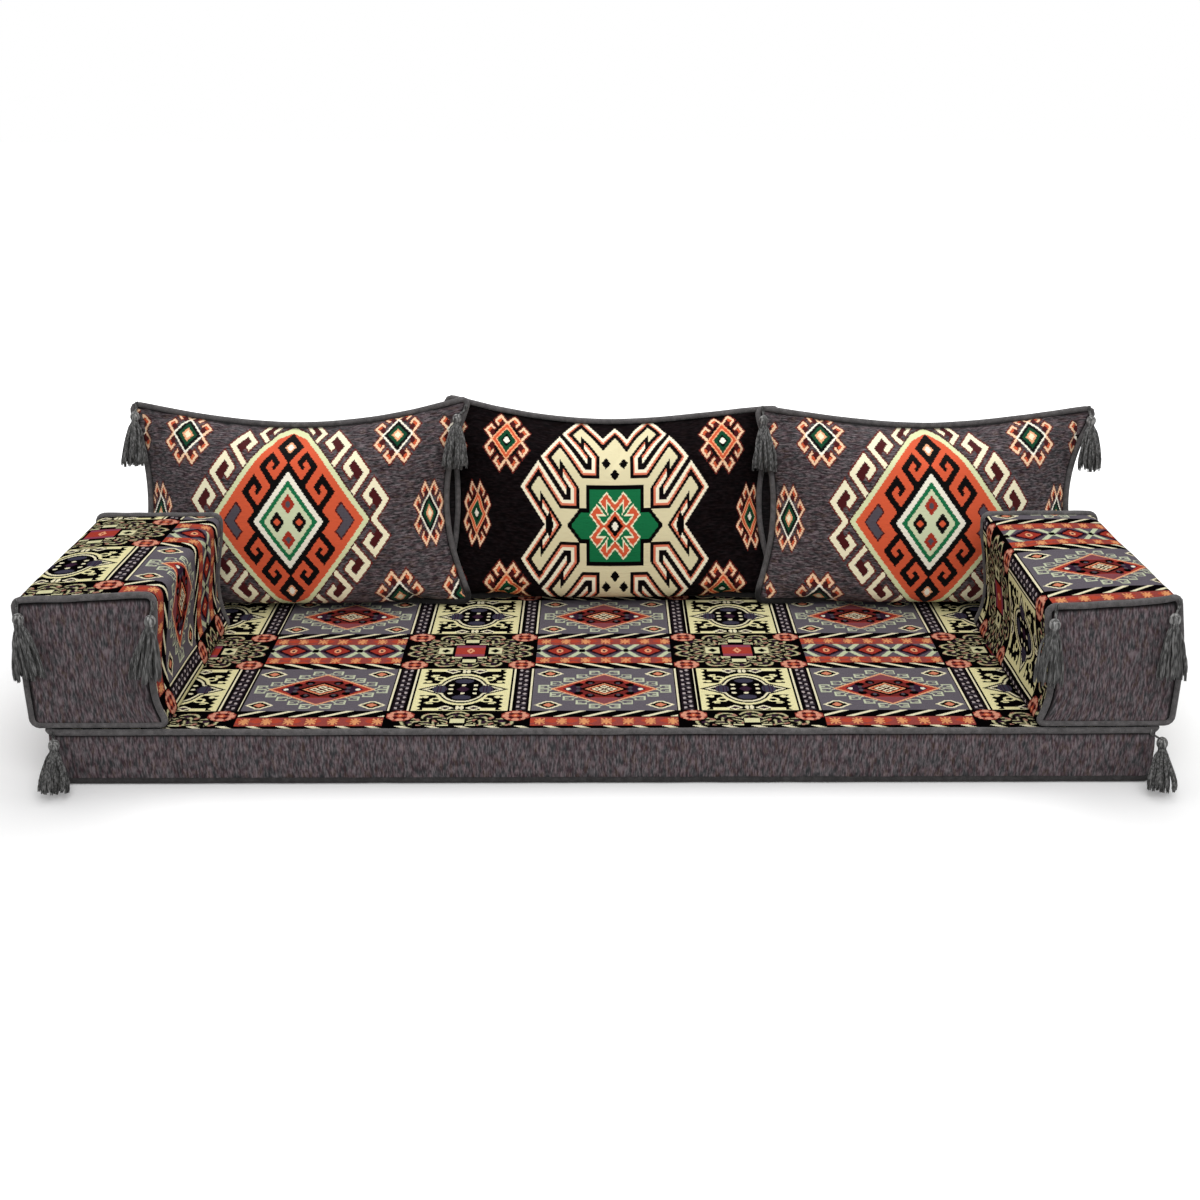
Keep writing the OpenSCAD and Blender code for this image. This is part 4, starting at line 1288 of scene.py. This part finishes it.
def lock_paths(node, yarn, skirt):
    """Middle lines of a skirt's locks of yarn, from under the neck to their cut ends."""
    dice = random.Random(node)
    for number in range(yarn.locks):
        share = sqrt((number + 0.5) / yarn.locks)
        turn = GOLDEN_TURN * number + dice.uniform(-0.3, 0.3)
        drift = turn + dice.uniform(-0.35, 0.35)
        flare = (yarn.flare + dice.uniform(-0.0015, 0.0015)) * share
        start = round_about(turn) * 0.0050 * share
        end = round_about(drift, squash=0.68) * flare
        length = skirt * dice.uniform(0.90, 1.0) * (0.86 if dice.random() < 0.1 else 1.0)
        sway = Vector((dice.uniform(-1, 1), dice.uniform(-1, 1), 0)) * 0.0022
        beat = dice.uniform(1.5, 2.3)
        path = []
        for t in (k / 8 for k in range(9)):
            out = start.lerp(end, min(1.0, t * 1.25) ** 0.62)
            path.append(out + sway * sin(t * pi * beat)
                        + Vector((0, 0, -SKIRT_TOP - (length - 0.002) * t)))
        yield path, turn


def tie_tassel(node, yarn):
    """Ties one tassel: cord, wrapped head, bound neck and a skirt of loose locks of yarn."""
    on_back, behind = "back_" in node, node.startswith("middle_back")
    on_floor = node.startswith("mattress")
    # The skirt's angle from plumb, its length, and the angle at which its loop hangs over.
    splay = LEAN if behind else radians(6 if on_back else 35 if on_floor else 7)
    skirt, over = (FLOOR_SKIRT, 85) if on_floor else (SKIRT, 72)
    foot = Vector(JOINTS[node + "_swing"]["pos_m"])
    foot = min(RINGS[node.rsplit("_", 2)[0]], key=lambda point: (point - foot).length)
    stand = Matrix.Translation(foot)
    if on_back:
        stand = stand @ Matrix.Rotation(-LEAN, 4, "X")
    if behind:
        stand = stand @ Matrix.Rotation(pi, 4, "Z")
    bm, layer = new_bmesh()
    aside, swung = HANGS.get(node, (0.0, 0.0))
    head = Vector((aside, HEAD_OUT, HEAD_HIGH if on_floor or behind else HEAD_LOW))
    for shift in (-LOOP_GAP, LOOP_GAP):
        hang = [Vector((shift, -LOOP * sin(a), LOOP * cos(a)))
                for a in (radians(over + d) for d in range(-30, 55, 12))]
        hang += [hang[-1].lerp(head + Vector((0, 0, 0.006)), k / 4) for k in range(1, 5)]
        tube(bm, layer, hang, LOOP_YARN, 7, Vector((1, 0, 0)))
    tilt = Matrix.Translation(head) @ Matrix.Rotation(-swung, 4, "Y") \
        @ Matrix.Rotation(-splay, 4, "X")
    made = bmesh.ops.create_uvsphere(bm, u_segments=44, v_segments=18, radius=HEAD,
                                     calc_uvs=False)
    for vertex in made["verts"]:
        x, y, z = vertex.co
        groove = (1 + 0.05 * cos(15 * atan2(y, x) + 90 * z)) * HEAD_WIDE
        vertex.co = tilt @ Vector((x * groove, y * groove, z * HEAD_TALL))
    for ring in range(NECK_TURNS):
        height = NECK_Z - NECK_STEP * ring
        circle = [tilt @ Vector((NECK * cos(a), NECK * sin(a), height))
                  for a in (2 * pi * k / 22 for k in range(22))]
        tube(bm, layer, circle, NECK_YARN, 6, tilt.to_3x3() @ Vector((0, 0, 1)), closed=True)
    for path, turn in lock_paths(node, yarn, skirt):
        for ply in range(yarn.plies):
            strand = []
            for k, point in enumerate(path):
                gap = yarn.strand_radius * (0.55 + 0.65 * k / 8)
                strand.append(tilt @ (point + gap * round_about(
                    turn + 2 * pi * ply / yarn.plies + 0.5 * k)))
            tube(bm, layer, strand, lambda t: yarn.strand_radius * (1.0 if t < 0.95 else 0.5),
                 5, Vector((1, 0, 0)))
    bmesh.ops.holes_fill(bm, edges=[e for e in bm.edges if e.is_boundary], sides=8)
    close_up(bm)
    bm.transform(stand)
    make_piece(node + "_yarn", bm, "yarn", node, node)


# ---- finishes by name

FINISHES = {
    "kilim": kilim_finish,
    "medallion_grey": medallion_grey_finish,
    "medallion_black": medallion_black_finish,
    "chenille": lambda: chenille_finish("chenille", across=True),
    "boxing": lambda: chenille_finish("boxing"),
    "felt": lambda: felt_finish("felt"),
    # Painted shade: the felt darkened, for the mattress's bottom cord.
    "felt_low": lambda: felt_finish("felt_low", 0.4),
    "yarn": yarn_finish,
    "zip": zip_finish,
    "metal": metal_finish,
}


def cut(name):
    """A finish by name, woven the first time that it is asked for."""
    return bpy.data.materials.get("sofa_" + name) or FINISHES[name]()


# ---- stage

# Place, pitch and roll.
CAMERA = ((-0.0034, -2.5495, 1.2205), radians(68.193), -0.00222)
FLOOR_LEVEL, FLOOR_SEEN = 0.62, 0.33  # the floor's lightness, and what the eye sees on top
GLOW, GLOW_START, GLOW_RISE = 0.08, 1.2, 0.6  # its own light, and more of it from there out


def seen(loom):
    """1 for what the eye, a mirror or glass sees, and 0 for what only lights the sofa."""
    eye, mirror, glass = (loom.node("ShaderNodeLightPath", output=f"Is {ray} Ray")
                          for ray in ("Camera", "Glossy", "Transmission"))
    return eye | mirror | glass


def floor_finish():
    """White floor: bright to the eye and to mirrors, and its plain part keeps the shadow."""
    loom = Loom("floor")
    x, y = loom.split(loom.place())
    away = (x * x + y * y).root() - GLOW_START
    level = seen(loom) * FLOOR_SEEN + FLOOR_LEVEL
    plain = loom.node("ShaderNodeBsdfDiffuse", {
        "Color": loom.node("ShaderNodeCombineXYZ", [level, level, level])})
    glow = loom.node("ShaderNodeEmission", {
        "Color": (1, 1, 1), "Strength": seen(loom) * ((away | 0) * GLOW_RISE + GLOW)})
    return loom.close(loom.node("ShaderNodeAddShader", [plain, glow]))


def set_stage(stage):
    """Adds the camera, the lights, the room's light and the floor."""
    scene = bpy.context.scene
    scene.view_settings.view_transform = "Standard"
    camera = add("camera", bpy.data.cameras.new("camera"))
    camera.data.lens = stage.lens
    camera.data.sensor_width = 36
    camera.data.sensor_fit = "HORIZONTAL"
    place, pitch, roll = CAMERA
    camera.matrix_world = Matrix.Translation(place) @ Matrix.Rotation(pitch, 4, "X") \
        @ Matrix.Rotation(roll, 4, "Z")
    scene.camera = camera

    for name, place, power, wide in (("front_softbox", (0.3, -2.5, 2.7), stage.key, 2.4),
                                     ("top_softbox", (0.2, 0.9, 3.0), stage.key * 0.9, 2.6)):
        lamp = bpy.data.lights.new(name, "AREA")
        lamp.energy = power
        lamp.size = wide
        look = (Vector((0, 0, 0.1)) - Vector(place)).to_track_quat("-Z", "Y")
        add(name, lamp).matrix_world = Matrix.Translation(place) @ look.to_matrix().to_4x4()

    room = Loom("room", bpy.data.worlds.new("room"))
    strength = seen(room) * (1 - stage.fill) + stage.fill
    light = room.node("ShaderNodeBackground", {"Color": (1, 1, 1), "Strength": strength})
    scene.world = room.close(light, "World")

    bm = bmesh.new()
    bmesh.ops.create_grid(bm, x_segments=8, y_segments=8, size=14)
    add("floor", as_mesh("floor", bm, floor_finish()))
    bm.free()


# ---- operators

class SOFA_OT_stage(bpy.types.Operator):
    """Sets up the camera, the lights, the room and the floor."""
    bl_idname = "sofa.stage"
    bl_label = "Set the stage"

    def execute(self, context):
        set_stage(context.scene.sofa_stage)
        return {"FINISHED"}


class SOFA_OT_mattress(bpy.types.Operator):
    """Sews the mattress."""
    bl_idname = "sofa.mattress"
    bl_label = "Sew the mattress"

    def execute(self, context):
        sew_mattress(context.scene.sofa_padding)
        return {"FINISHED"}


class SOFA_OT_arms(bpy.types.Operator):
    """Sews the two arm cushions."""
    bl_idname = "sofa.arms"
    bl_label = "Sew the arm cushions"

    def execute(self, context):
        for name in ARMS:
            sew_arm(name, context.scene.sofa_padding)
        return {"FINISHED"}


class SOFA_OT_backs(bpy.types.Operator):
    """Sews and fills the three back cushions."""
    bl_idname = "sofa.backs"
    bl_label = "Sew the back cushions"

    def execute(self, context):
        for name in BACKS:
            sew_back(name, context.scene.sofa_padding)
        return {"FINISHED"}


class SOFA_OT_tassels(bpy.types.Operator):
    """Ties the twelve tassels."""
    bl_idname = "sofa.tassels"
    bl_label = "Tie the tassels"

    def execute(self, context):
        for node in NODES:
            if node.endswith("_tassel"):
                tie_tassel(node, context.scene.sofa_yarn)
        return {"FINISHED"}


class SOFA_OT_zips(bpy.types.Operator):
    """Finishes the zips, their sliders and their pull tabs."""
    bl_idname = "sofa.zips"
    bl_label = "Finish the zips"

    def execute(self, context):
        for node, packed in NODES.items():
            if "_zip" in node:
                packed.data.materials.clear()
                packed.data.materials.append(cut("zip" if node.endswith("_zip") else "metal"))
        return {"FINISHED"}


OPERATORS = (SOFA_OT_stage, SOFA_OT_mattress, SOFA_OT_arms, SOFA_OT_backs, SOFA_OT_tassels,
             SOFA_OT_zips)


class SOFA_PT_panel(bpy.types.Panel):
    """Lists the sofa's steps and settings."""
    bl_idname = "SOFA_PT_panel"
    bl_label = "Majlis floor sofa"
    bl_space_type = "VIEW_3D"
    bl_region_type = "UI"
    bl_category = "Sofa"

    def draw(self, context):
        for operator in OPERATORS:
            self.layout.operator(operator.bl_idname)
        for group in GROUPS:
            box = self.layout.box()
            held = getattr(context.scene, group)
            for name in held.bl_rna.properties.keys():
                if name not in {"rna_type", "name"}:
                    box.prop(held, name)


GROUPS = {"sofa_fabric": SofaFabric, "sofa_padding": SofaPadding, "sofa_yarn": SofaYarn,
          "sofa_stage": SofaStage}
CLASSES = (*GROUPS.values(), *OPERATORS, SOFA_PT_panel)


def register():
    for made in CLASSES:
        bpy.utils.register_class(made)
    for name, group in GROUPS.items():
        setattr(bpy.types.Scene, name, bpy.props.PointerProperty(type=group))


def unregister():
    for name in GROUPS:
        delattr(bpy.types.Scene, name)
    for made in reversed(CLASSES):
        bpy.utils.unregister_class(made)


def main():
    register()
    for operator in OPERATORS:
        getattr(bpy.ops.sofa, operator.bl_idname.split(".")[1])()


if __name__ == "__main__":
    main()
